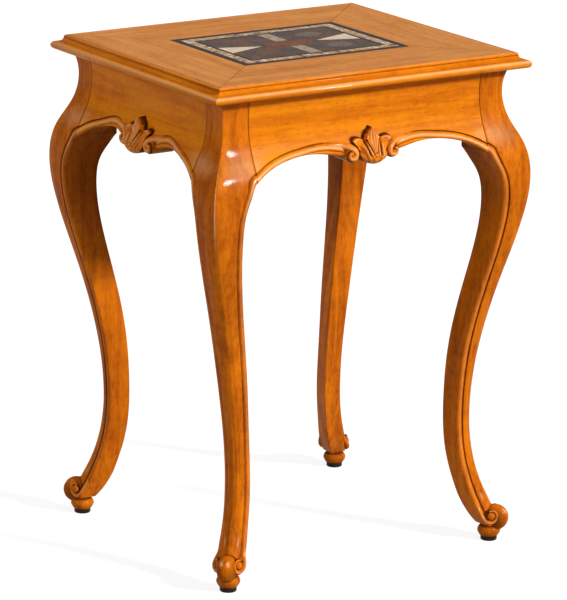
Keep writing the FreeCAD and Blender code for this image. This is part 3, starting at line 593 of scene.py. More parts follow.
def wood_figure_group():
    """Figure of fine-grained wood whose grain runs along the vector's X.

    A recess value above 0 is painted shade, or a dark joint line; below 0 it is a ridge worn pale and
    polished, which also paints a highlight on it.
    """
    if "wood_figure" in bpy.data.node_groups:
        return bpy.data.node_groups["wood_figure"]
    tree, given, result = new_group(
        "wood_figure",
        {"Vector": "NodeSocketVector", "Light": "NodeSocketColor", "Dark": "NodeSocketColor",
         "Stain": "NodeSocketColor", "Rubbed": "NodeSocketColor", "Recess": "NodeSocketFloat",
         "Gloss": "NodeSocketFloat", "Coat": "NodeSocketFloat"},
        {"Color": "NodeSocketColor", "Roughness": "NodeSocketFloat", "Height": "NodeSocketFloat",
         "Coat Weight": "NodeSocketFloat"})
    noises = {name: noise(tree, stretched(tree, given["Vector"], stretch), *shape)
              for name, (stretch, *shape) in WOOD_NOISES.items()}

    def masked(name, low, high, most):
        """How much a noise mixes in: nothing below low, and most above high."""
        return times(tree, ramp(tree, noises[name], low, high), most)

    darkness = 0.0
    for name, limits in WOOD_DARKENING.items():
        darkness = plus(tree, masked(name, *limits), darkness, clamp=True)
    body = blend_colours(tree, darkness, given["Light"], given["Dark"])
    for name, limits in WOOD_STAINING.items():
        body = blend_colours(tree, masked(name, *limits), body, given["Stain"])
    # Above 0 the recess value paints shade, and marks the dark joint lines
    shading_and_joints = ramp(tree, plus(tree, given["Recess"], times(tree, noises["clouds"], 0.12)), 0.12, 1.0)
    body = blend_colours(tree, shading_and_joints, body, given["Stain"])
    # Below 0 the recess value paints highlights, and polish, on worn crests
    rubbed = ramp(tree, times(tree, given["Recess"], -1.0), 0.0, 1.0)
    body = blend_colours(tree, times(tree, rubbed, 0.8), body, given["Rubbed"])
    polish = plus(tree, given["Coat"], times(tree, rubbed, 0.5), clamp=True)
    rough = plus(tree, given["Gloss"], times(tree, noises["clouds"], 0.12))
    fill(tree, result, {
        "Color": body,
        "Roughness": plus(tree, rough, times(tree, shading_and_joints, 0.25), clamp=True),
        "Height": plus(tree, times(tree, noises["fibres"], -0.5), times(tree, noises["streaks"], -0.5)),
        # Painted shade in a recess is dull
        "Coat Weight": times(tree, polish, ramp(tree, shading_and_joints, 0.0, 0.6, 1.0, 0.05))})
    return tree


# Turns that lay the figure's X along an axis of the table
GRAIN_TURN = {"x": (0, 0, 0), "y": (0, 0, -math.pi / 2), "z": (0, math.pi / 2, 0)}


def new_material(name):
    """A material's node tree, its Principled surface and its Object coordinates."""
    made = bpy.data.materials.new(name)
    made.use_nodes = True
    tree = made.node_tree
    return made, tree, tree.nodes["Principled BSDF"], add(tree, "ShaderNodeTexCoord").outputs["Object"]


def bumped(tree, height, strength, distance):
    """A normal from a height."""
    made = add(tree, "ShaderNodeBump", {"Height": height, "Strength": strength, "Distance": distance})
    return made.outputs[0]


# The kinds of wood: whose colours, how rough, how much varnish, and how rough that is
WOODS = {
    "leg": ("wood", 0.36, 0.07, 0.1),
    "apron": ("apron", 0.36, 0.07, 0.1),
    "moulding": ("apron", 0.36, 0.07, 0.1),
    "carving": ("apron", 0.34, 0.3, 0.12),
    "top": ("top", 0.42, 0.04, 0.1),
    "bare": ("bare", 0.6, 0.0, 0.1),
}


def wood(name, kind, grain, shift=0.0, mitred=False):
    """Wood of one kind whose grain runs along one axis of the table.

    shift moves the figure, so that no two boards are alike; mitred adds the top's hairlines.
    """
    tone, gloss, coat, rough_coat = WOODS[kind]
    made, tree, surface, where = new_material(name)
    turned = add(tree, "ShaderNodeMapping", {"Vector": where, "Location": (shift, shift * 0.37, shift * 0.11),
                                             "Rotation": GRAIN_TURN[grain]}).outputs[0]
    recess = add(tree, "ShaderNodeAttribute", attribute_name="recess").outputs["Fac"]
    if mitred:
        recess = maths(tree, "MAXIMUM", recess, mitre_line(tree, where))
    figure = add(tree, "ShaderNodeGroup", node_tree=wood_figure_group())
    fill(tree, figure, {"Vector": turned, "Recess": recess, "Light": colour(tone + "_light"),
                        "Dark": colour(tone + "_dark"), "Stain": colour("recess"), "Rubbed": colour("rubbed"),
                        "Gloss": gloss, "Coat": coat})
    shown = figure.outputs
    fill(tree, surface, {"Base Color": shown["Color"], "Roughness": shown["Roughness"],
                         "Normal": bumped(tree, shown["Height"], 0.1, 0.0003),
                         "Coat Weight": shown["Coat Weight"], "Coat Roughness": rough_coat,
                         "Specular IOR Level": 0.02})
    return made


def mitre_line(tree, where):
    """Stain on the hairline of the border's mitres.

    They run at 45 degrees, so |x| - |y| is the same all along them; the stain fades with the offset
    from that value.
    """
    parts = add(tree, "ShaderNodeSeparateXYZ", {0: where}).outputs
    along = maths(tree, "SUBTRACT", maths(tree, "ABSOLUTE", parts[0]), maths(tree, "ABSOLUTE", parts[1]))
    offset = maths(tree, "ABSOLUTE", maths(tree, "SUBTRACT", along, (FACE_HALF_X - FACE_HALF_Y) * MM))
    return ramp(tree, offset, 0.0002, 0.0007, 0.75, 0.0)


# How strongly polished stone mirrors: little, so that dark stone stays dark under a white sky
STONE_IOR = 1.1


def stone_grain_group():
    """Polished stone: two sizes of grains of another colour in a ground, shaded by clouds, and veins.

    Scale is the larger grains' scale, Share how much of them shows and Veined how much of the veins.
    """
    if "stone_grain" in bpy.data.node_groups:
        return bpy.data.node_groups["stone_grain"]
    tree, given, result = new_group(
        "stone_grain",
        {"Vector": "NodeSocketVector", "Ground": "NodeSocketColor", "Grains": "NodeSocketColor",
         "Vein": "NodeSocketColor", "Scale": "NodeSocketFloat", "Share": "NodeSocketFloat",
         "Veined": "NodeSocketFloat", "Gloss": "NodeSocketFloat"},
        {"Color": "NodeSocketColor", "Roughness": "NodeSocketFloat", "Height": "NodeSocketFloat"})
    where, scale, share = given["Vector"], given["Scale"], given["Share"]
    grains = noise(tree, stretched(tree, where, scale), 4.0, 0.7)
    fine = noise(tree, stretched(tree, where, times(tree, scale, 4.0)), 2.0, 0.6)
    clouds = noise(tree, stretched(tree, where, (60.0, 60.0, 60.0)), 3.0, 0.6, 0.5)
    large_share = times(tree, ramp(tree, grains, 0.48, 0.58), share)
    fine_share = times(tree, ramp(tree, fine, 0.55, 0.7), times(tree, share, 0.6))
    body = blend_colours(tree, large_share, given["Ground"], given["Grains"])
    body = blend_colours(tree, fine_share, body, given["Grains"])
    shade = blend_colours(tree, clouds, (0.62, 0.62, 0.62, 1), (1.25, 1.25, 1.25, 1))
    body = blend_colours(tree, 1.0, body, shade, "MULTIPLY")
    veins = times(tree, ramp(tree, clouds, 0.5, 0.66), given["Veined"])
    fill(tree, result, {"Color": blend_colours(tree, veins, body, given["Vein"]),
                        "Roughness": plus(tree, times(tree, fine, 0.12), given["Gloss"]), "Height": fine})
    return tree


def stone(name, ground, grains, scale, share, veined=0.0):
    """Polished stone, with brown veins where veined is above 0."""
    made, tree, surface, where = new_material(name)
    figure = add(tree, "ShaderNodeGroup", node_tree=stone_grain_group())
    fill(tree, figure, {"Vector": where, "Ground": ground, "Grains": grains, "Vein": colour("stone_vein"),
                        "Scale": scale, "Share": share, "Veined": veined, "Gloss": 0.22})
    shown = figure.outputs
    fill(tree, surface, {"Base Color": shown["Color"], "Roughness": shown["Roughness"],
                         "Normal": bumped(tree, shown["Height"], 0.06, 0.0002), "IOR": STONE_IOR})
    return made


def mosaic(name, cell):
    """Small square tesserae set in rows, each with a colour of its own, with thin dark joints.

    A tessera's random red, green and blue decide whether it is tan, pale or brown instead of cream.
    """
    made, tree, surface, where = new_material(name)
    tiling = {"Vector": where, "Scale": 1 / cell, "Randomness": 0.42}
    tile = add(tree, "ShaderNodeTexVoronoi", tiling, voronoi_dimensions="2D", distance="CHEBYCHEV")
    edge = add(tree, "ShaderNodeTexVoronoi", tiling, voronoi_dimensions="2D",
               feature="DISTANCE_TO_EDGE").outputs["Distance"]
    pick = add(tree, "ShaderNodeSeparateColor", {0: tile.outputs["Color"]}).outputs
    body = blend_colours(tree, ramp(tree, pick[0], 0.45, 0.55), colour("stone_cream"), colour("stone_tan"))
    body = blend_colours(tree, ramp(tree, pick[1], 0.78, 0.82), body, colour("tessera_pale"))
    body = blend_colours(tree, ramp(tree, pick[2], 0.86, 0.9), body, colour("tessera_brown"))
    grains = noise(tree, stretched(tree, where, (1500.0, 1500.0, 1500.0)), 2.0, 0.6)
    body = blend_colours(tree, times(tree, ramp(tree, grains, 0.5, 0.7), 0.3), body, colour("tessera_brown"))
    joint = ramp(tree, edge, 0.03, 0.12, 0.75, 0.0)
    fill(tree, surface, {"Base Color": blend_colours(tree, joint, body, colour("mosaic_joint")),
                         "Roughness": plus(tree, times(tree, joint, 0.4), 0.2),
                         "Normal": bumped(tree, maths(tree, "SUBTRACT", 1.0, joint), 0.2, 0.0002),
                         "IOR": STONE_IOR})
    return made


def handled_group():
    """A little unevenness in the colour and the gloss of a plain finish."""
    if "handled" in bpy.data.node_groups:
        return bpy.data.node_groups["handled"]
    tree, given, result = new_group(
        "handled", {"Vector": "NodeSocketVector", "Ground": "NodeSocketColor", "Gloss": "NodeSocketFloat"},
        {"Color": "NodeSocketColor", "Roughness": "NodeSocketFloat"})
    uneven = noise(tree, stretched(tree, given["Vector"], (400.0, 400.0, 400.0)), 3.0, 0.6)
    shade = blend_colours(tree, uneven, (0.7, 0.7, 0.7, 1), (1.3, 1.3, 1.3, 1))
    fill(tree, result, {"Color": blend_colours(tree, 1.0, given["Ground"], shade, "MULTIPLY"),
                        "Roughness": plus(tree, times(tree, uneven, 0.2), given["Gloss"])})
    return tree


def plain(name, ground, metal=0.0):
    """A plain finish: dark wood or, with metal at 1, steel."""
    made, tree, surface, where = new_material(name)
    figure = add(tree, "ShaderNodeGroup", node_tree=handled_group())
    fill(tree, figure, {"Vector": where, "Ground": ground, "Gloss": 0.3})
    fill(tree, surface, {"Base Color": figure.outputs["Color"], "Roughness": figure.outputs["Roughness"],
                         "Metallic": metal, "Specular IOR Level": 0.1})
    return made


def dress(node, material):
    """Gives a node of the frame its finish."""
    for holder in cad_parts[node].material_slots:
        holder.material = material


# The legs

# Painted sheen, a painted highlight, on the knees and ankles: how strongly it is painted, its middle's
# height, its spread
KNEE_SHEEN, KNEE_HEIGHT, KNEE_SPREAD = 0.42, 556, 15
ANKLE_SHEEN, ANKLE_HEIGHT, ANKLE_SPREAD = 0.55, 62, 7
# The level rings of a shaft, in stretches from, to, count: close where it bends most
SHAFT_RINGS = ((23, 60, 24), (62, 528, 150), (529, 560, 48), (562, UNDERSIDE, 36))
# The middle of a foot's scroll: outwards of the foot's axis along the diagonal, and up
SCROLL_OUT, SCROLL_UP = 8.5, 31.5
# A scroll's end rounds off by the power of a share; its painted highlight spots are at this share of its half
# width and at this cosine of the turn from its top, and spread by this much of both
SCROLL_ROUNDING = 2.6
HIGHLIGHT_SHARE, HIGHLIGHT_COSINE, HIGHLIGHT_SPREAD = 0.35, 0.62, 0.22
# Where a foot's eye is: outwards, sideways and up from the foot's axis, its turn forwards and its dome
EYE_CENTRE = (5.3, 15.4, 36.5)
EYE_TURN = math.radians(32)
EYE_DOME = 4.4
# The ground that eye and rope stand on, darkened with painted shade: (place along the eye's axis, radius,
# recess)
EYE_GROUND = ((-9.0, 1.0, 0.2), (-8.0, 7.6, 0.2), (-2.8, 8.6, 0.8), (-1.5, 8.0, 0.9), (-1.3, 1.0, 0.9))
# The rope on the leg: its heights, and how far it flares sideways of the side bead
ROPE_HEIGHTS, ROPE_FLARE = (84.0, 70.0, 58.0, 47.0), (0, 0.1, 0.4, 1.0)
# The rope round the eye: its turns in degrees, its knots there, its reach from the eye, and how much
# closer it ends
ROPE_TURNS, ROPE_KNOTS = (215, 475), 14
ROPE_REACH, ROPE_TIGHTENING = 10.2, 3.0
# The rope's radius at some of its knots: (knot, radius)
ROPE_RADII = ((0, 3.4), (3, 3.6), (5, 3.1), (9, 2.3), (13, 1.6), (17, 1.0))
ROPE_STEPS = 18


def leg_place(sign_x, sign_y, out_x, out_y, height, measures):
    """Points of a leg from offsets outwards of its block's outer corner.

    Below the knee the leg moves inwards along X and outwards along Y by the splay at its height.
    """
    shift = splay_at(height)
    half_x = FACE_HALF_X - measures["leg_inset"]
    half_y = FACE_HALF_Y - measures["leg_inset"]
    return np.stack([sign_x * (half_x + out_x - shift), sign_y * (half_y + out_y + shift),
                     np.broadcast_to(height, np.shape(out_x))], -1)


def bead_stretch(height):
    """How much wider a level section is than one across the leg: sqrt(1 + slope ** 2)."""
    return np.hypot(1, inner_at(height + 0.5) - inner_at(height - 0.5))


def leg_half_section(height, measures):
    """Half of the leg's level section at each height: from the inner corner to the middle of the arris.

    Along the section come the flat inner face, the bead (an ellipse of half width w and rise r:
    across = w - w cos(turn), up = r sin(turn), for turns of 12.5 to 150 degrees), the V of the quirk,
    the front face, which falls by crown * k ** 5 at a share k of its width, and half of the arris.
    Widths grow by sqrt(1 + slope ** 2) where the leg leans.
    The recess value is above 0 for painted shade in the grooves and on the inner face under the top and for
    the dark joint line, and below 0 for painted highlights on crests, knees and ankles.
    Returns the two offsets and the recess value, each one row per height.
    """
    outer, inner, radius = outer_at(height), inner_at(height), arris_at(height)
    half = measures["bead_width"] / 2 * bead_stretch(height)
    groove = measures["quirk_width"] * bead_stretch(height)
    rise, quirk, ease = measures["bead_rise"], measures["quirk_depth"], measures["joint_line"]
    joint = np.where(height > JOINT_FOOT, -measures["leg_block"], DEEP_INSIDE)
    inner = np.where(height > BLOCK_FOOT, DEEP_INSIDE, inner)
    deep = inner - measures["corner_swell"] * np.minimum(1, height / 60)
    across, up, shading_and_joints = [], [], []

    def put(place, rising, dark):
        """Adds a point to every section: its two offsets and its recess value."""
        across.append(place)
        up.append(rising)
        shading_and_joints.append(dark + 0 * height)

    # Painted shade darkens the inner face under the top
    shade = 0.1 + 0.36 * fading(height, 300, JOINT_FOOT)
    put(deep + 0.5, deep + 0.5, shade)
    for share in np.linspace(0.04, 1, 7):
        put(deep + (inner - deep) * share, deep + (outer - rise - deep) * share, shade * (1 - 0.3 * share))
    # Painted highlight along the bead's crest, stronger near the top, and painted shade towards its quirk
    rubbed = 0.35 + 0.4 * fading(height, 490, 530)
    for turn in np.radians(np.linspace(12.5, 150, 13)):
        put(inner + half - half * math.cos(turn), outer - rise + rise * math.sin(turn),
            0.4 * (turn / BEAD_END) ** 9 + ridge_highlight(turn) * rubbed)
    start = inner + 2 * half + groove
    # Where the joint with the apron cuts the quirk off, the face begins there with an eased edge
    cut = start < joint
    begin = np.maximum(start, joint)
    # Painted shade in the quirk's V, and a dark joint line where the joint cuts it off
    put(start - groove, outer - quirk, 0.8)
    put(start - groove / 2, outer - quirk * 0.7, 0.6)
    put(begin, outer - np.where(cut, ease, 0.3), np.where(cut, 0.9, 0.3))
    put(begin + 0.5, outer, 0.03)
    # The crown fades out at the ankle and under the top
    crown = measures["crown"] * np.clip((height - 40) / 120, 0, 1) * np.clip((UNDERSIDE - height) / 60, 0, 1)
    # Painted sheen on the knee and on the ankle's front; towards the arris the face darkens with painted
    # shade
    knee = KNEE_SHEEN * bell(height - KNEE_HEIGHT, KNEE_SPREAD)
    ankle = ANKLE_SHEEN * bell(height - ANKLE_HEIGHT, ANKLE_SPREAD)
    for share in np.linspace(0.06, 1, 15):
        sheen = ankle * bell(share - 0.5, 0.22) + knee * (1 - 0.5 * share ** 2)
        put(begin + 0.5 + (outer - radius - begin - 0.5) * share, outer - crown * share ** 5,
            0.16 * share ** 6 - sheen)
    # Painted highlight along the arris, from a height of about 430 mm to 8 mm under the top
    highlight_mask = fading(height, 430, 500) * (height < UNDERSIDE - 8)
    for turn in np.radians(np.linspace(0, 45, 8))[1:]:
        share = turn / math.radians(45)
        put(outer - crown - radius + radius * math.sin(turn) + crown * (1 - share),
            outer - crown - radius + radius * math.cos(turn), -0.7 * share ** 3 * highlight_mask)
    across, up = (np.maximum(np.stack(values, -1), joint[:, None]) for values in (across, up))
    return across, up, np.stack(shading_and_joints, -1)


def leg_shaft(sign_x, sign_y, measures):
    """The leg from the scroll to the top: rings of level sections, the second half mirroring the first."""
    height = np.concatenate([np.linspace(*stretch) for stretch in SHAFT_RINGS])
    across, up, shading_and_joints = leg_half_section(height, measures)
    first = np.concatenate([across, up[:, -2:0:-1]], 1)
    second = np.concatenate([up, across[:, -2:0:-1]], 1)
    shading_and_joints = np.concatenate([shading_and_joints, shading_and_joints[:, -2:0:-1]], 1)
    grid = leg_place(sign_x, sign_y, first, second, height[:, None], measures)
    # Painted shade in the crease where the shaft runs into the scroll
    gap = np.linalg.norm(grid - scroll_centre(sign_x, sign_y), axis=-1) - measures["roll_radius"]
    crease = 0.9 * bell(np.maximum(gap - 0.3, 0), 1.1) * (height[:, None] > 36)
    return shell(grid, with_painted_shade(shading_and_joints, crease))


def scroll_centre(sign_x, sign_y):
    """The middle of a foot's scroll: outwards of the foot's axis, along the diagonal."""
    ahead = SCROLL_OUT / math.sqrt(2)
    return np.array([sign_x * (FOOT_X + ahead), sign_y * (FOOT_Y + ahead), SCROLL_UP])


def bead_centre(height, measures):
    """Where the middle of the leg's side bead is, as (outwards, sideways) distances from the foot's axis."""
    foot = FOOT_X - (FACE_HALF_X - measures["leg_inset"]) + splay_at(0)
    across = inner_at(height) + measures["bead_width"] / 2 * bead_stretch(height) - foot
    up = outer_at(height) - measures["bead_rise"] - foot
    return (across + up) / math.sqrt(2), (up - across) / math.sqrt(2)


def scroll_skin(sign_x, sign_y, side, up, measures):
    """A foot's scroll: a roll across the diagonal with rounded ends.

    Its radius at a distance t from its middle is radius * (1 - (|t| / half) ** 2.6) ** 0.5.
    """
    radius, half = measures["roll_radius"], measures["roll_half"]
    place = half * np.sin(np.linspace(-math.pi / 2, math.pi / 2, 41)[1:-1])
    share = np.abs(place) / half
    round_off = (1 - share ** SCROLL_ROUNDING) ** 0.5
    turn = np.radians(np.linspace(0, 360, ROUND_STEPS, endpoint=False))
    # Painted shade at the scroll's ends and towards its underside, and painted highlight spots on its upper
    # part
    highlight_mask = bell(share[:, None] - HIGHLIGHT_SHARE, HIGHLIGHT_SPREAD) * bell(np.cos(turn) - HIGHLIGHT_COSINE, HIGHLIGHT_SPREAD)
    shading_and_joints = 0.2 + 0.4 * (1 - round_off[:, None]) + 0.2 * (1 - np.cos(turn)) / 2 - 1.1 * highlight_mask
    return shell(revolved(radius * round_off, place, scroll_centre(sign_x, sign_y), side, up), shading_and_joints)


def foot_forms(sign_x, sign_y, measures):
    """The scroll, its two eyes, the rope that curls round each eye, and the turned pad."""
    out = np.array([sign_x, sign_y, 0]) / math.sqrt(2)
    side = np.array([-sign_y, sign_x, 0]) / math.sqrt(2)
    up = np.array([0, 0, 1.0])
    axis = np.array([sign_x * FOOT_X, sign_y * FOOT_Y, 0])
    skins = [scroll_skin(sign_x, sign_y, side, up, measures)]
    for way in (1, -1):
        # Each eye faces sideways and a little forwards
        facing = math.cos(EYE_TURN) * side * way + math.sin(EYE_TURN) * out
        ahead = math.cos(EYE_TURN) * out - math.sin(EYE_TURN) * side * way
        centre = axis + out * EYE_CENTRE[0] + side * way * EYE_CENTRE[1] + up * EYE_CENTRE[2]
        skins.append(eye_skin(centre, facing, ahead, measures["eye_radius"]))
        skins.append(eye_ground(centre, facing, ahead))
        skins.append(foot_rope((centre, facing, ahead, up), (axis, out, side * way),
                               sign_x * sign_y * way, measures))
    low = GLIDE_HIGH[2]
    rise, bulge = pad_outline(low, measures["pad_height"], measures["pad_radius"])
    # Painted shade in the creases over the glide and under the scroll
    creases = ((low, 0.85), (low + 1.5, 0.5), (low + 4, 0.24), (18.5, 0.3), (21, 0.85), (30, 0.9))
    skins.append(shell(revolved(bulge, rise, axis, up, out), straight(creases, rise)[:, None]))
    return skins


def eye_skin(centre, facing, ahead, radius):
    """A foot's eye, on a root: a dome of radius * cos(turn) at dome * sin(turn) - 0.6 along its axis."""
    turn = np.linspace(0, math.pi / 2, 12)[:-1]
    radii = np.concatenate([[radius * 0.9], radius * np.cos(turn)])
    lengths = np.concatenate([[-5.0], EYE_DOME * np.sin(turn) - 0.6])
    # Painted shade at the root of the eye
    shading_and_joints = np.concatenate([[1.0, 0.9, 0.3], np.zeros(9)])
    return shell(revolved(radii, lengths, centre, facing, ahead, 32), shading_and_joints[:, None])


def eye_ground(centre, facing, ahead):
    """The round ground behind a foot's eye, darkened with painted shade."""
    lengths, radii, shading_and_joints = np.array(EYE_GROUND).T
    return shell(revolved(radii, lengths, centre, facing, ahead, 40), shading_and_joints[:, None])


def pad_outline(low, high, wide):
    """Height and radius along the pad: a belly drawn in to the glide below and to the scroll above."""
    belly = smooth_curve([(low, 11.3), (low + 2.2, 12.9), (low + 5.2, wide - 0.9), (low + 8, wide),
                          (low + 10.6, wide - 0.6), (high, wide - 2.3), (high + 1.6, wide - 4),
                          (high + 2.6, wide - 4.6)])
    rise = np.concatenate([[low], np.linspace(low, high + 2.6, 26), [high + 6, high + 9]])
    bulge = np.concatenate([[4.0], belly(rise[1:-2]), [11.0, 9.0]])
    return rise, bulge


def foot_rope(eye, foot, hand, measures):
    """The side bead's last stretch: it swells off the leg, passes under the eye and curls round it.

    Round the eye the path is centre + reach * (cos(turn) ahead + sin(turn) up), for turns of 215 to
    475 degrees, with reach falling from 10.2 to 7.2 mm. The rope thins to a radius of 1.0 mm.
    eye is the eye's centre, its axis, and what is ahead and up of it; foot is the foot's axis, and
    what is outwards and sideways of it; hand is 1 or -1, the side on which the leg's splay counts.
    """
    centre, facing, ahead, up = eye
    axis, out, side = foot
    turn = np.radians(np.linspace(*ROPE_TURNS, ROPE_KNOTS))
    share = np.linspace(0, 1, ROPE_KNOTS)
    reach = ROPE_REACH - ROPE_TIGHTENING * share ** 0.8
    ring = (centre + (reach * np.cos(turn))[:, None] * ahead + (reach * np.sin(turn))[:, None] * up
            + (1.8 * share - 1.4)[:, None] * facing)
    height = np.array(ROPE_HEIGHTS)
    spread, sideways = bead_centre(height, measures)
    drift = (splay_at(height) - splay_at(0)) * math.sqrt(2) * hand
    leg = (axis + spread[:, None] * out + (sideways + np.array(ROPE_FLARE) + drift)[:, None] * side
           + height[:, None] * up)
    path, place, run = along_path(np.vstack([leg, ring]), 130)
    knots, radii = np.array(ROPE_RADII).T
    radii = np.interp(place, run[knots.astype(int)], radii)
    # Painted highlight along the rope's crest
    crest = 0.6 * ridge_highlight(np.linspace(0, 2 * math.pi, ROPE_STEPS, False))
    return shell(tube(path, radii, facing, ROPE_STEPS), crest)


class SIDETABLE_OT_legs(Operator):
    """Four cabriole legs, each with a beaded shaft, a scroll with eyes and a turned pad"""
    bl_idname = "side_table.legs"
    bl_label = "Legs"

    def execute(self, context):
        measures = sizes()
        for index, (corner, (sign_x, sign_y)) in enumerate(CORNERS.items()):
            skins = [leg_shaft(sign_x, sign_y, measures)] + foot_forms(sign_x, sign_y, measures)
            finish = wood(f"leg_wood_{corner}", "leg", "z", 0.31 * index)
            piece(f"leg_{corner}_carved", skins, finish, [f"leg_{corner}"])
        return {"FINISHED"}


# The aprons and their carving

def arch_line(half_run):
    """Height of an apron's lower edge against the distance from the middle of its side."""
    points = [(half_run - distance, height) for distance, height in ARCH_FROM_JOINT]
    peak = (points[-1][0] + VOLUTE_REACH) / 2
    points += [(peak, ARCH_PEAK), (VOLUTE_REACH, ARCH_AT_VOLUTE), (0, ARCH_CENTRE)]
    curve = smooth_curve(points)
    return lambda distance: curve(np.abs(distance))


# Distances from the middle of a side: up to the first the second bead is full, and from the next it is
# nearly gone
SMALL_BEAD_SPAN = (55, 110)
# Up to the first the beads are flat, behind the carving, and from the next they are round
FLAT_SPAN = (36, 50)
# How high the V of an apron's quirk is, and how far the knee's painted sheen runs along the apron
APRON_QUIRK = 1.1
SHEEN_RUN = 22
# Painted shade on the face round the carving, twice: how dark, how far out
HALO = ((0.9, 1.5), (0.42, 6))


def carving_reach(turn):
    """How far the palmette's outline is from its centre, at each angle up from level."""
    side, height = np.array(CARVING_OUTLINE, float).T
    angle = np.arctan2(height - CARVING_CENTRE, side)
    return np.interp(turn, angle, np.hypot(side, height - CARVING_CENTRE))


def apron_skin(half_run, measures):
    """An apron along X with its face towards -Y: rings of upright sections from joint to joint.

    Each ring runs down the face, which follows the leg's outer line, round the quirk and the bead,
    round a small second bead that grows towards the volutes, and back under the flat lower edge to
    the flat back. The bead's height grows by sqrt(1 + slope ** 2), where slope is the arch's.
    Behind the carving the beads flatten into a sunk ground.
    """
    line = arch_line(half_run)
    ease, rise, back = measures["joint_line"], measures["bead_rise"], measures["apron_back"]
    along = np.concatenate([[-half_run], np.linspace(-half_run + ease, half_run - ease, 320), [half_run]])
    reach = np.abs(along)
    edge = line(along)
    slope = line(along + 0.5) - line(along - 0.5)
    slope[[0, -1]] = slope[[1, -2]]
    half = measures["bead_width"] / 2 * np.hypot(1, slope)
    shown = 0.05 + 0.95 * (1 - fading(reach, *SMALL_BEAD_SPAN))
    start = edge + measures["small_bead"] * shown
    round_part = fading(reach, *FLAT_SPAN)
    quirk = measures["quirk_depth"]
    face_end = start + 2 * half + APRON_QUIRK
    out, height, shading_and_joints = [], [], []

    def put(outwards, up, dark):
        """Adds a point to every section: how far out and up it is, and its recess value."""
        out.append(outwards + 0 * along)
        height.append(up + 0 * along)
        shading_and_joints.append(dark + 0 * along)

    put(-back, UNDERSIDE, 0)
    for share in np.concatenate([np.linspace(0, 0.55, 14), np.linspace(0.57, 1, 26)]):
        level = UNDERSIDE + (face_end + 0.5 - UNDERSIDE) * share
        # Painted shadow on the face just under the top, and a little painted shade at the quirk
        put(outer_at(level), level, 0.5 * max(0.0, 1 - share * 26) + 0.1 * (share == 1))
    # Painted shade in the quirk's V
    put(outer_at(face_end) - 0.25, face_end, 0.3)
    put(outer_at(face_end) - quirk * 0.55, start + 2 * half + APRON_QUIRK / 2, 0.6)
    put(outer_at(face_end) - quirk, start + 2 * half + 0.1, 0.85)
    # The bead: painted shade towards its quirk and a painted highlight on its crest; where it lies flat
    # behind the carving, painted shade
    for turn in np.radians(np.linspace(150, 0, 13)):
        level = start + half - half * math.cos(turn)
        swell = round_part * math.sin(turn) + (1 - round_part) * 0.4
        put(outer_at(level) - rise * (1 - swell), level, 0.5 * (turn / BEAD_END) ** 6
            + np.where(round_part > 0.3, ridge_highlight(turn), 0.8 * (1 - round_part)))
    # The small bead: painted shade in the groove above it and behind the carving
    for turn in np.radians(np.linspace(170, 0, 9)):
        level = edge + (start - edge) * (1 - math.cos(turn)) / 2
        put(outer_at(edge) - rise + shown * (2.2 * math.sin(turn) - 1.9), level,
            shown * 0.8 * (turn > 2.6) + 0.8 * (1 - round_part))
    # Painted shade under the lower edge
    put(outer_at(edge) - rise - 3 - 2 * shown, edge + 0.3, 0.6)
    put(-back + 1, edge + 0.3, 0.5)
    put(-back, edge + 1.3, 0.2)
    out, height, shading_and_joints = (np.stack(values, -1) for values in (out, height, shading_and_joints))
    # The edges at the joints are eased along the face, and dark
    out[[0, -1], 1:41] -= ease
    shading_and_joints[[0, -1]] = 0.9
    # The painted sheen of the knees fades along the apron's face
    sheen = KNEE_SHEEN * bell(height - KNEE_HEIGHT, KNEE_SPREAD) * bell(half_run - reach, SHEEN_RUN)[:, None]
    shading_and_joints = np.where((shading_and_joints == 0) & (out > 0), -sheen, shading_and_joints)
    # Painted shade round the carving's outline
    turn = np.arctan2(height - CARVING_CENTRE, reach[:, None])
    gap = np.maximum(np.hypot(height - CARVING_CENTRE, reach[:, None]) - carving_reach(turn), 0)
    halo = np.minimum(sum(dark * bell(gap, spread) for dark, spread in HALO), 0.95) * (out > 0)
    grid = np.stack([np.broadcast_to(along[:, None], out.shape), -out, height], -1)
    return shell(grid, with_painted_shade(shading_and_joints, halo))


def table_sides(inset=0.0):
    """For each side its number, name and run's axis, half its run, and half the table across it."""
    halves = (FACE_HALF_X - inset, FACE_HALF_Y - inset)
    for count, side in enumerate(SIDES):
        yield count, side, "xy"[count % 2], halves[count % 2], halves[1 - count % 2]


def side_turned(grid, turn_count, half_block):
    """Moves points of a piece made for the front to another side: out to the blocks' face, then turned."""
    angle = turn_count * math.pi / 2
    x, y, z = grid[..., 0], grid[..., 1] - half_block, grid[..., 2]
    cosine, sine = math.cos(angle), math.sin(angle)
    return np.stack([x * cosine - y * sine, x * sine + y * cosine, z], -1)


def placed(skins, turn_count, half_block):
    """Skins made for the front side, moved to another side."""
    return [(side_turned(points, turn_count, half_block), quads, ends, shading_and_joints)
            for points, quads, ends, shading_and_joints in skins]


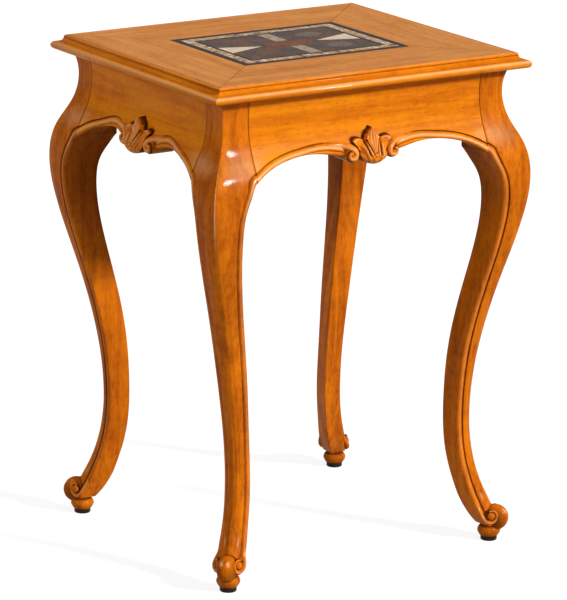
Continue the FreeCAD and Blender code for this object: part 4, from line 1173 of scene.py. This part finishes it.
def volute_skins(sign, measures):
    """A volute beside the palmette: the apron's bead rises over it and curls in to an eye.

    The rope's crest comes up out of the apron's bead to 0.4 mm off the apron's face, and then passes
    smoothly to a level 17.4 mm out, over a round core that goes through to the apron's back.
    """
    path, place, run = along_path(VOLUTE_PATH, 140)
    radii = np.interp(place, run, VOLUTE_RADII)
    share = fading(place, run[2], run[5])
    # Outside the volute the rope sinks into the apron's bead
    sunk = VOLUTE_SUNK * (1 - fading(place, 0, run[2]))
    crest = outer_at(np.maximum(path[:, 1], BLOCK_FOOT)) + VOLUTE_CLEARANCE - sunk
    crest = crest * (1 - share) + VOLUTE_CREST * share
    middle = np.stack([sign * path[:, 0], radii - crest, path[:, 1]], -1)
    ahead, above = np.array([0, -1.0, 0]), np.array([0, 0, 1.0])
    turn = np.linspace(0, 2 * math.pi, VOLUTE_STEPS, False)
    # Painted highlight along the rope's crest
    rope = shell(tube(middle, radii, ahead, VOLUTE_STEPS), 0.75 * ridge_highlight(turn))
    back = measures["apron_back"] - 0.6
    base = np.array([sign * VOLUTE_CENTRE[0], back, VOLUTE_CENTRE[1]])
    depth = back + VOLUTE_CORE
    # The core: (length along its axis, radius, recess); the recess paints shade on it, darkest round the eye
    outline = ((0, 8.4, 0.5), (0.6, 8.6, 0.45), (depth / 2, 8.6, 0.35), (depth - 2.8, 8.6, 0.35),
               (depth - 0.6, 7.8, 0.9), (depth - 0.1, 5.0, 1.0), (depth, 3.0, 1.0))
    lengths, radii, shading_and_joints = np.array(outline).T
    core = shell(revolved(radii, lengths, base, ahead, above, 40), shading_and_joints[:, None])
    # The eye is a dome: eye * cos(turn) across and dome * sin(turn) high, a little off the core's axis
    turn = np.linspace(0, math.pi / 2, 8)[:-1]
    eye_base = base + ahead * (depth - 0.6) + np.array([sign * 0.9, 0, 0.5])
    radii = np.concatenate([[VOLUTE_EYE], VOLUTE_EYE * np.cos(turn)])
    lengths = np.concatenate([[-1], VOLUTE_DOME * np.sin(turn)])
    return [rope, core, shell(revolved(radii, lengths, eye_base, ahead, above, 20), 0.0)]


def carving_relief(side, up, turn, share, rise):
    """How far the palmette stands out of its ground, and its recess value: painted shade above 0, and painted
    highlights below 0 on bright ridges.

    side and up are a point's distance from the middle and its height, turn its angle up from level
    and share its place between the centre (0) and the outline (1). Below, a cup stands out by rise,
    with a soft fold and a groove at each side and a small knob in a ring. Above it, the middle
    leaf is fluted: |sin(2 pi v)| is 0 on its ridges, v being side / the leaf's half width. A round
    band of sin(pi w) lies at each side of it, and a deep slit parts that from the side lobe, which
    has a rib and a rolled rim. Grooves, knob and ribs are exp(-(distance / width) ** 2). All of it
    rounds off to the outline by (1 - share ** p) ** 0.5, p being small below and large at the lobes.
    """
    leaf, slit_at = straight(LEAF_EDGE, up), straight(SLIT_LINE, up)
    across = side / leaf
    opened = fading(up, 550, 557)
    flute = np.abs(np.sin(2 * math.pi * np.minimum(across, 1))) * opened * (across < 1)
    middle = straight(LEAF_RISE, up) + 0.7 * opened * (1 - across ** 2)
    middle = middle - 0.2 * np.minimum(leaf, 8) * flute
    within = np.clip((side - leaf) / np.maximum(slit_at - leaf, 0.5), 0, 1)
    band = straight(BAND_RISE, up) + 1.6 * opened * np.sin(math.pi * within) - 0.5
    degrees = np.degrees(turn)
    rimmed = fading(degrees, 24, 32) * (1 - fading(degrees, 57, 60))
    outer = straight(((0, rise),) + LOBE_RISE, share) + 2.6 * rimmed * bell(share - 0.95, 0.055)
    # The rib: place is the share of the way from its foot to its tip, held between 0 and 1
    run_side, run_up = np.subtract(RIB_TIP, RIB_FOOT)
    off_side, off_up = side - RIB_FOOT[0], up - RIB_FOOT[1]
    place = np.clip((off_side * run_side + off_up * run_up) / (run_side ** 2 + run_up ** 2), 0, 1)
    outer = outer + 2.2 * bell(np.hypot(off_side - run_side * place, off_up - run_up * place), 1.9)
    # The slit and the leaf's seam end below the top of the side lobes, and the cup's grooves where it opens
    below_rim = 1 - fading(up, 571, 573)
    grown = fading(up, 552, 557)
    slit = bell(side - slit_at, 1.3) * fading(up, 549, 554) * below_rim
    seam = bell(side - leaf, 0.8) * grown * below_rim
    fold = bell(side - straight(FOLD_LINE, up), 0.9) * (1 - grown)
    crease = bell(side - straight(CREASE_LINE, up), 1.1) * (1 - grown)
    off_knob = np.hypot(side, up - KNOB_HEIGHT)
    ring = bell(off_knob - 2.6, 0.7)
    cup = rise - 0.9 * fold - 0.6 * crease
    upper = np.where(side < leaf, middle, np.where(side < slit_at, band, outer))
    height = cup + (upper - cup) * fading(up, 547, 555)
    height = height - 6 * slit - 1.2 * seam + bell(off_knob, 1.4) - 0.7 * ring
    # Painted shade in the slits, flutes, seam, folds, grooves and ring, and at the outline
    shading_and_joints = np.maximum.reduce([slit, 0.2 * flute ** 6, 0.9 * seam, 0.6 * fold, 0.5 * crease, 0.6 * ring,
                               0.9 * fading(share, 0.955, 1) + 0 * side])
    # Painted highlights where light catches the leaf's ridges, the bands, the lobes' rims, the knob and the
    # slit's outer lip
    ridges = (1 - flute) ** 1.3 * opened * (across < 0.97)
    bands = np.sin(math.pi * within) ** 8 * opened
    lip = bell(side - slit_at - 2.5, 1.0) * fading(up, 547, 552) * (1 - fading(up, 562, 568))
    bright = np.maximum.reduce([ridges, bands, rimmed * bell(share - 0.93, 0.03), 0.7 * bell(off_knob, 1.2),
                                0.8 * lip])
    shading_and_joints = np.where(shading_and_joints > 0.15, shading_and_joints, -0.9 * bright * (share < 0.96))
    height = height * np.sqrt(np.maximum(1 - share ** straight(RIM_POWER, degrees), 0))
    return height, shading_and_joints


def palmette_skin(measures):
    """The palmette for the front side, as rings about its centre from the middle of its face outwards.

    A point is at centre + share * reach(turn) * (cos(turn), sin(turn)) and stands out of the
    apron's face by its relief; the rim goes straight back through the board, and a flat back closes it.
    """
    turn = np.linspace(-math.pi, math.pi, 240, endpoint=False)
    share = np.concatenate([np.linspace(0.01, 0.9, 74), np.linspace(0.91, 1, 16)])
    # Both sides are alike, so an angle up from level is taken on the right-hand side
    level = np.arctan2(np.sin(turn), np.abs(np.cos(turn)))
    reach = carving_reach(level)
    along = share[:, None] * reach * np.cos(turn)
    up = CARVING_CENTRE + share[:, None] * reach * np.sin(turn)
    lift, shading_and_joints = carving_relief(np.abs(along), up, level[None], share[:, None], measures["carving_rise"])
    ground = outer_at(np.maximum(up, BLOCK_FOOT))
    back = -(measures["apron_back"] - 0.8)
    rim = ground[-1]
    out = np.vstack([ground + lift, rim - 0.4, rim - 3, (rim + back) / 2, 0 * rim + back, 0 * rim + back])
    inner = np.array([1, 1, 1, 1, 0.3])[:, None]
    along = np.vstack([along, along[-1] * inner])
    up = np.vstack([up, CARVING_CENTRE + (up[-1] - CARVING_CENTRE) * inner])
    # Painted shade on the rim's wall back into the board
    shading_and_joints = np.vstack([shading_and_joints, np.array([0.9, 0.7, 0.4, 0.4, 0.4])[:, None] + 0 * reach])
    return shell(np.stack([along, -out, up], -1), shading_and_joints)


class SIDETABLE_OT_aprons(Operator):
    """Four shaped aprons with a beaded lower edge"""
    bl_idname = "side_table.aprons"
    bl_label = "Aprons"

    def execute(self, context):
        measures = sizes()
        for count, side, grain, half_run, half_across in table_sides(measures["leg_inset"]):
            skins = placed([apron_skin(half_run - measures["leg_block"], measures)], count, half_across)
            finish = wood(f"apron_wood_{side}", "apron", grain, 0.53 * count)
            piece(f"apron_{side}_beaded", skins, finish, [f"apron_{side}"])
        return {"FINISHED"}


class SIDETABLE_OT_palmettes(Operator):
    """A carved palmette between two volutes on each side"""
    bl_idname = "side_table.palmettes"
    bl_label = "Palmettes"

    def execute(self, context):
        measures = sizes()
        skins = [palmette_skin(measures)] + volute_skins(-1, measures) + volute_skins(1, measures)
        for count, side, _, _, half_across in table_sides(measures["leg_inset"]):
            finish = wood(f"carving_wood_{side}", "carving", "z", 0.7 + 0.21 * count)
            piece(f"palmette_{side}_carved", placed(skins, count, half_across), finish,
                  [f"palmette_{side}"])
        return {"FINISHED"}


# The top

# The edge moulding, outwards of the top's face and down from it: the middle and the half widths of its
# bead's ellipse, the hollow's start and size, and the nose's middle and radius
BEAD_MIDDLE, BEAD_HALVES = (2.55, 2.7), (2.35, 2.6)
HOLLOW_START, HOLLOW_SIZE = (5.5, 4.2), (7.3, 5.2)
NOSE_MIDDLE, NOSE_RADIUS = (12.7, 14.7), 5.3
# How far back the moulding reaches under the top
MOULDING_BACK = -22.0


def moulding_profile():
    """The edge moulding's outline: (outwards of the face, below the face, recess) points, in a ring.

    The bead is an ellipse from the quirk to the step, the hollow a quarter of a larger ellipse, and
    the nose a round of radius 5.3.
    """
    thick = TABLE_HEIGHT - UNDERSIDE
    step = TABLE_HEIGHT - BED
    bead = np.radians(np.linspace(165, 10, 12))
    hollow = np.linspace(0.08, 1, 12) * math.pi / 2
    nose = np.radians(np.linspace(84, -90, 20))
    # Recess values: painted shade in the quirk, at the step and under the nose, and painted highlights along
    # the bead and the nose
    return np.vstack([
        [(-6.0, step, 0.5), (0.0, step, 0.9), (0.0, 1.3, 1.0)],
        np.stack([BEAD_MIDDLE[0] + BEAD_HALVES[0] * np.cos(bead),
                  BEAD_MIDDLE[1] - BEAD_HALVES[1] * np.sin(bead),
                  0.5 * ridge_highlight(bead + math.radians(30))], -1),
        [(5.0, 3.9, 0.7), (5.5, 4.2, 0.4)],
        np.stack([HOLLOW_START[0] + HOLLOW_SIZE[0] * (1 - np.cos(hollow)),
                  HOLLOW_START[1] + HOLLOW_SIZE[1] * np.sin(hollow), 0 * hollow], -1),
        np.stack([NOSE_MIDDLE[0] + NOSE_RADIUS * np.cos(nose), NOSE_MIDDLE[1] - NOSE_RADIUS * np.sin(nose),
                  0.9 * ridge_highlight(nose + math.radians(52))], -1),
        [(6.0, thick, 0.1), (MOULDING_BACK, thick, 0.2), (MOULDING_BACK, step + 0.5, 0.5)]])


def moulding_skin(half_length, half_width):
    """A mitred length of moulding for the front: the profile carried along, its ends cut at 45 degrees."""
    profile = moulding_profile()
    out, down, shading_and_joints = profile.T
    ease = np.array([-0.25, 0, 0, -0.25])
    share = np.array([-1, -0.998, 0.998, 1])
    along = share[:, None] * (half_length + out)
    away = half_width + np.where(out > 0, out + ease[:, None], out)
    grid = np.stack([along, -away, np.broadcast_to(TABLE_HEIGHT - down, away.shape)], -1)
    # The eased ends at the mitres are dark
    return shell(grid, np.where(ease[:, None] < 0, 0.7, shading_and_joints))


class SIDETABLE_OT_mouldings(Operator):
    """Four mitred edge mouldings: quirk, bead, hollow and round nose"""
    bl_idname = "side_table.mouldings"
    bl_label = "Edge mouldings"

    def execute(self, context):
        for count, side, grain, half_run, half_across in table_sides():
            skins = placed([moulding_skin(half_run, half_across)], count, 0.0)
            finish = wood(f"moulding_wood_{side}", "moulding", grain, 0.9 + 0.4 * count)
            piece(f"edge_moulding_{side}_run", skins, finish, [f"edge_moulding_{side}"])
        return {"FINISHED"}


class SIDETABLE_OT_top(Operator):
    """Finishes of the top's veneered border, its core and the corner blocks"""
    bl_idname = "side_table.top"
    bl_label = "Top and inner wood"

    def execute(self, context):
        for count, side, grain, _, _ in table_sides():
            dress(f"top_border_{side}", wood(f"top_wood_{side}", "top", grain, 1.7 * count, mitred=True))
        bare = wood("bare_wood", "bare", "x")
        for node in ["top_core"] + [f"corner_block_{corner}" for corner in CORNERS]:
            dress(node, bare)
        return {"FINISHED"}


# The panel's stones: the setting of the ground's colour, the grains' colour, scale and share, and the veins
STONES = {
    "black": ("stone_black", (0.1, 0.08, 0.075, 1), 900.0, 0.3, 0.0),
    "field": ("stone_field", (0.045, 0.034, 0.032, 1), 330.0, 0.9, 0.7),
    "cream": ("stone_ivory", (0.5, 0.3, 0.16, 1), 500.0, 0.35, 0.0),
    "speckled": ("stone_speckled", (0.16, 0.11, 0.08, 1), 420.0, 0.9, 0.0),
    "brown": ("stone_brown", (0.07, 0.045, 0.036, 1), 380.0, 0.8, 0.0),
    "grey": ("stone_grey", (0.08, 0.06, 0.05, 1), 380.0, 0.8, 0.0),
    "centre": ("stone_red", (0.05, 0.035, 0.03, 1), 420.0, 1.0, 0.0),
}
# The side of a tessera
TESSERA = 6.3
STONE_NODES = {
    "black": [f"{kind}_strip_{side}" for kind in ("black", "inner") for side in SIDES],
    "mosaic": [f"mosaic_strip_{side}" for side in SIDES],
    "field": ["stone_field"],
    "centre": ["centre_lozenge"],
    "cream": [f"cream_wedge_{side}" for side in ("left", "right")],
    "speckled": [f"speckled_bar_{side}" for side in ("front", "back")],
    "brown": ["cabochon_front_left", "cabochon_back_left"],
    "grey": ["cabochon_front_right", "cabochon_back_right"],
}


class SIDETABLE_OT_stone(Operator):
    """Finishes of the stone panel's strips, field and figures"""
    bl_idname = "side_table.stone"
    bl_label = "Stone panel"

    def execute(self, context):
        finishes = {name: stone(f"{name}_finish", colour(ground), grains, scale, share, veined)
                    for name, (ground, grains, scale, share, veined) in STONES.items()}
        finishes["mosaic"] = mosaic("mosaic_finish", TESSERA * MM)
        for name, nodes in STONE_NODES.items():
            for node in nodes:
                dress(node, finishes[name])
        return {"FINISHED"}


class SIDETABLE_OT_fittings(Operator):
    """Finishes of the glides, screws and nails"""
    bl_idname = "side_table.fittings"
    bl_label = "Glides and fasteners"

    def execute(self, context):
        glide = plain("glide_finish", colour("glide"))
        steel = plain("steel_finish", colour("steel"), metal=1.0)
        for corner in CORNERS:
            dress(f"glide_{corner}", glide)
        for node in ("corner_block_screws", "top_screws", "glide_nails"):
            dress(node, steel)
        return {"FINISHED"}


# The stage

# Half the floor's side in metres, and how much it glows: with the light on it that makes white
FLOOR_HALF = 30.0
FLOOR_GLOW = 0.84
# About how far off the lamps hang in metres, where they shine to, and how wide they are in degrees
LAMP_DISTANCE = 2.0
KEY_DIRECTION, KEY_ANGLE = (-0.435, 0.78, -0.45), 7
FILL_DIRECTION, FILL_ANGLE = (0.87, 0.1, -0.36), 14


def aim(direction):
    """A turn that points an object's -Z along a direction, with its X level."""
    back = -np.asarray(direction, float) / np.linalg.norm(direction)
    level = np.cross((0, 0, 1), back)
    level /= np.linalg.norm(level)
    return Matrix([[level[k], np.cross(back, level)[k], back[k]] for k in range(3)]).to_euler()


def add_lamp(name, direction, strength, angle):
    """A sun lamp that shines along a direction, with the softness of a wide source."""
    lamp = bpy.data.lights.new(name, "SUN")
    lamp.energy = strength
    lamp.angle = math.radians(angle)
    made = bpy.data.objects.new(name, lamp)
    made.rotation_euler = aim(direction)
    made.location = -LAMP_DISTANCE * np.asarray(direction, float)
    bpy.context.scene.collection.objects.link(made)


class SIDETABLE_OT_stage(Operator):
    """A pale floor, soft light and the camera at the photo's angle"""
    bl_idname = "side_table.stage"
    bl_label = "Stage"

    def execute(self, context):
        scene = context.scene
        stage = scene.side_table_stage
        self.floor()
        self.sky(scene, stage.sky_strength)
        add_lamp("key_light", KEY_DIRECTION, stage.key_strength, KEY_ANGLE)
        add_lamp("fill_light", FILL_DIRECTION, stage.fill_strength, FILL_ANGLE)
        self.camera(scene, stage)
        scene.view_settings.view_transform = "Standard"
        return {"FINISHED"}

    def floor(self):
        """A wide floor that is white to the camera and to reflections, and keeps the shadow."""
        half = FLOOR_HALF
        mesh = bpy.data.meshes.new("floor")
        corners = [(-half, -half, 0), (half, -half, 0), (half, half, 0), (-half, half, 0)]
        mesh.from_pydata(corners, [], [(0, 1, 2, 3)])
        made, tree, surface, where = new_material("pale_floor")
        uneven = noise(tree, stretched(tree, where, (6.0, 6.0, 6.0)), 2.0, 0.5)
        path = add(tree, "ShaderNodeLightPath").outputs
        mirrored = maths(tree, "MAXIMUM", path["Is Glossy Ray"], path["Is Transmission Ray"])
        seen = maths(tree, "MAXIMUM", path["Is Camera Ray"], mirrored)
        grey = blend_colours(tree, uneven, (0.3, 0.3, 0.3, 1), (0.32, 0.32, 0.32, 1))
        fill(tree, surface, {"Base Color": grey, "Roughness": 0.9, "Specular IOR Level": 0.0,
                             "Emission Color": (1, 1, 1, 1),
                             "Emission Strength": times(tree, seen, FLOOR_GLOW)})
        mesh.materials.append(made)
        ground = bpy.data.objects.new("floor", mesh)
        bpy.context.scene.collection.objects.link(ground)

    def sky(self, scene, strength):
        """Even grey light from all round."""
        world = bpy.data.worlds.new("sky")
        world.use_nodes = True
        scene.world = world
        light = world.node_tree.nodes["Background"]
        light.inputs["Color"].default_value = (1, 1, 1, 1)
        light.inputs["Strength"].default_value = strength

    def camera(self, scene, stage):
        """The photo's camera: its place, its turn and its focal length on a sensor of the photo's height."""
        camera = bpy.data.cameras.new("camera")
        camera.sensor_width = 36.0
        camera.lens = stage.focal_pixels / PHOTO_HEIGHT * camera.sensor_width
        camera.clip_end = 200.0
        made = bpy.data.objects.new("camera", camera)
        yaw, pitch, roll = stage.camera_yaw, stage.camera_pitch, stage.camera_roll
        ahead = np.array([math.sin(yaw) * math.cos(pitch), math.cos(yaw) * math.cos(pitch), -math.sin(pitch)])
        level = np.array([math.cos(yaw), -math.sin(yaw), 0])
        above = np.cross(level, ahead)
        right = math.cos(roll) * level + math.sin(roll) * above
        upright = -math.sin(roll) * level + math.cos(roll) * above
        made.rotation_euler = Matrix([[right[k], upright[k], -ahead[k]] for k in range(3)]).to_euler()
        made.location = stage.camera_place
        scene.collection.objects.link(made)
        scene.camera = made


class SIDETABLE_PT_panel(Panel):
    """Lists the steps that dress the side table"""
    bl_label = "Side table"
    bl_idname = "SIDETABLE_PT_panel"
    bl_space_type = "VIEW_3D"
    bl_region_type = "UI"
    bl_category = "Side table"

    def draw(self, context):
        for step in STEPS:
            self.layout.operator(step.bl_idname)
        for group in (context.scene.side_table_sizes, context.scene.side_table_colours,
                      context.scene.side_table_stage):
            box = self.layout.box()
            for name in type(group).__annotations__:
                box.prop(group, name)


STEPS = (SIDETABLE_OT_legs, SIDETABLE_OT_aprons, SIDETABLE_OT_palmettes, SIDETABLE_OT_mouldings,
         SIDETABLE_OT_top, SIDETABLE_OT_stone, SIDETABLE_OT_fittings, SIDETABLE_OT_stage)
CLASSES = (SideTableSizes, SideTableColours, SideTableStage) + STEPS + (SIDETABLE_PT_panel,)


def register():
    """Makes the settings, steps and panel known to Blender."""
    for item in CLASSES:
        bpy.utils.register_class(item)
    bpy.types.Scene.side_table_sizes = PointerProperty(type=SideTableSizes)
    bpy.types.Scene.side_table_colours = PointerProperty(type=SideTableColours)
    bpy.types.Scene.side_table_stage = PointerProperty(type=SideTableStage)


def unregister():
    """Takes the settings, steps and panel away again."""
    del bpy.types.Scene.side_table_stage
    del bpy.types.Scene.side_table_colours
    del bpy.types.Scene.side_table_sizes
    for item in reversed(CLASSES):
        bpy.utils.unregister_class(item)


def main():
    """Runs every step in order."""
    register()
    for step in STEPS:
        group, name = step.bl_idname.split(".")
        getattr(getattr(bpy.ops, group), name)()


if __name__ == "__main__":
    main()
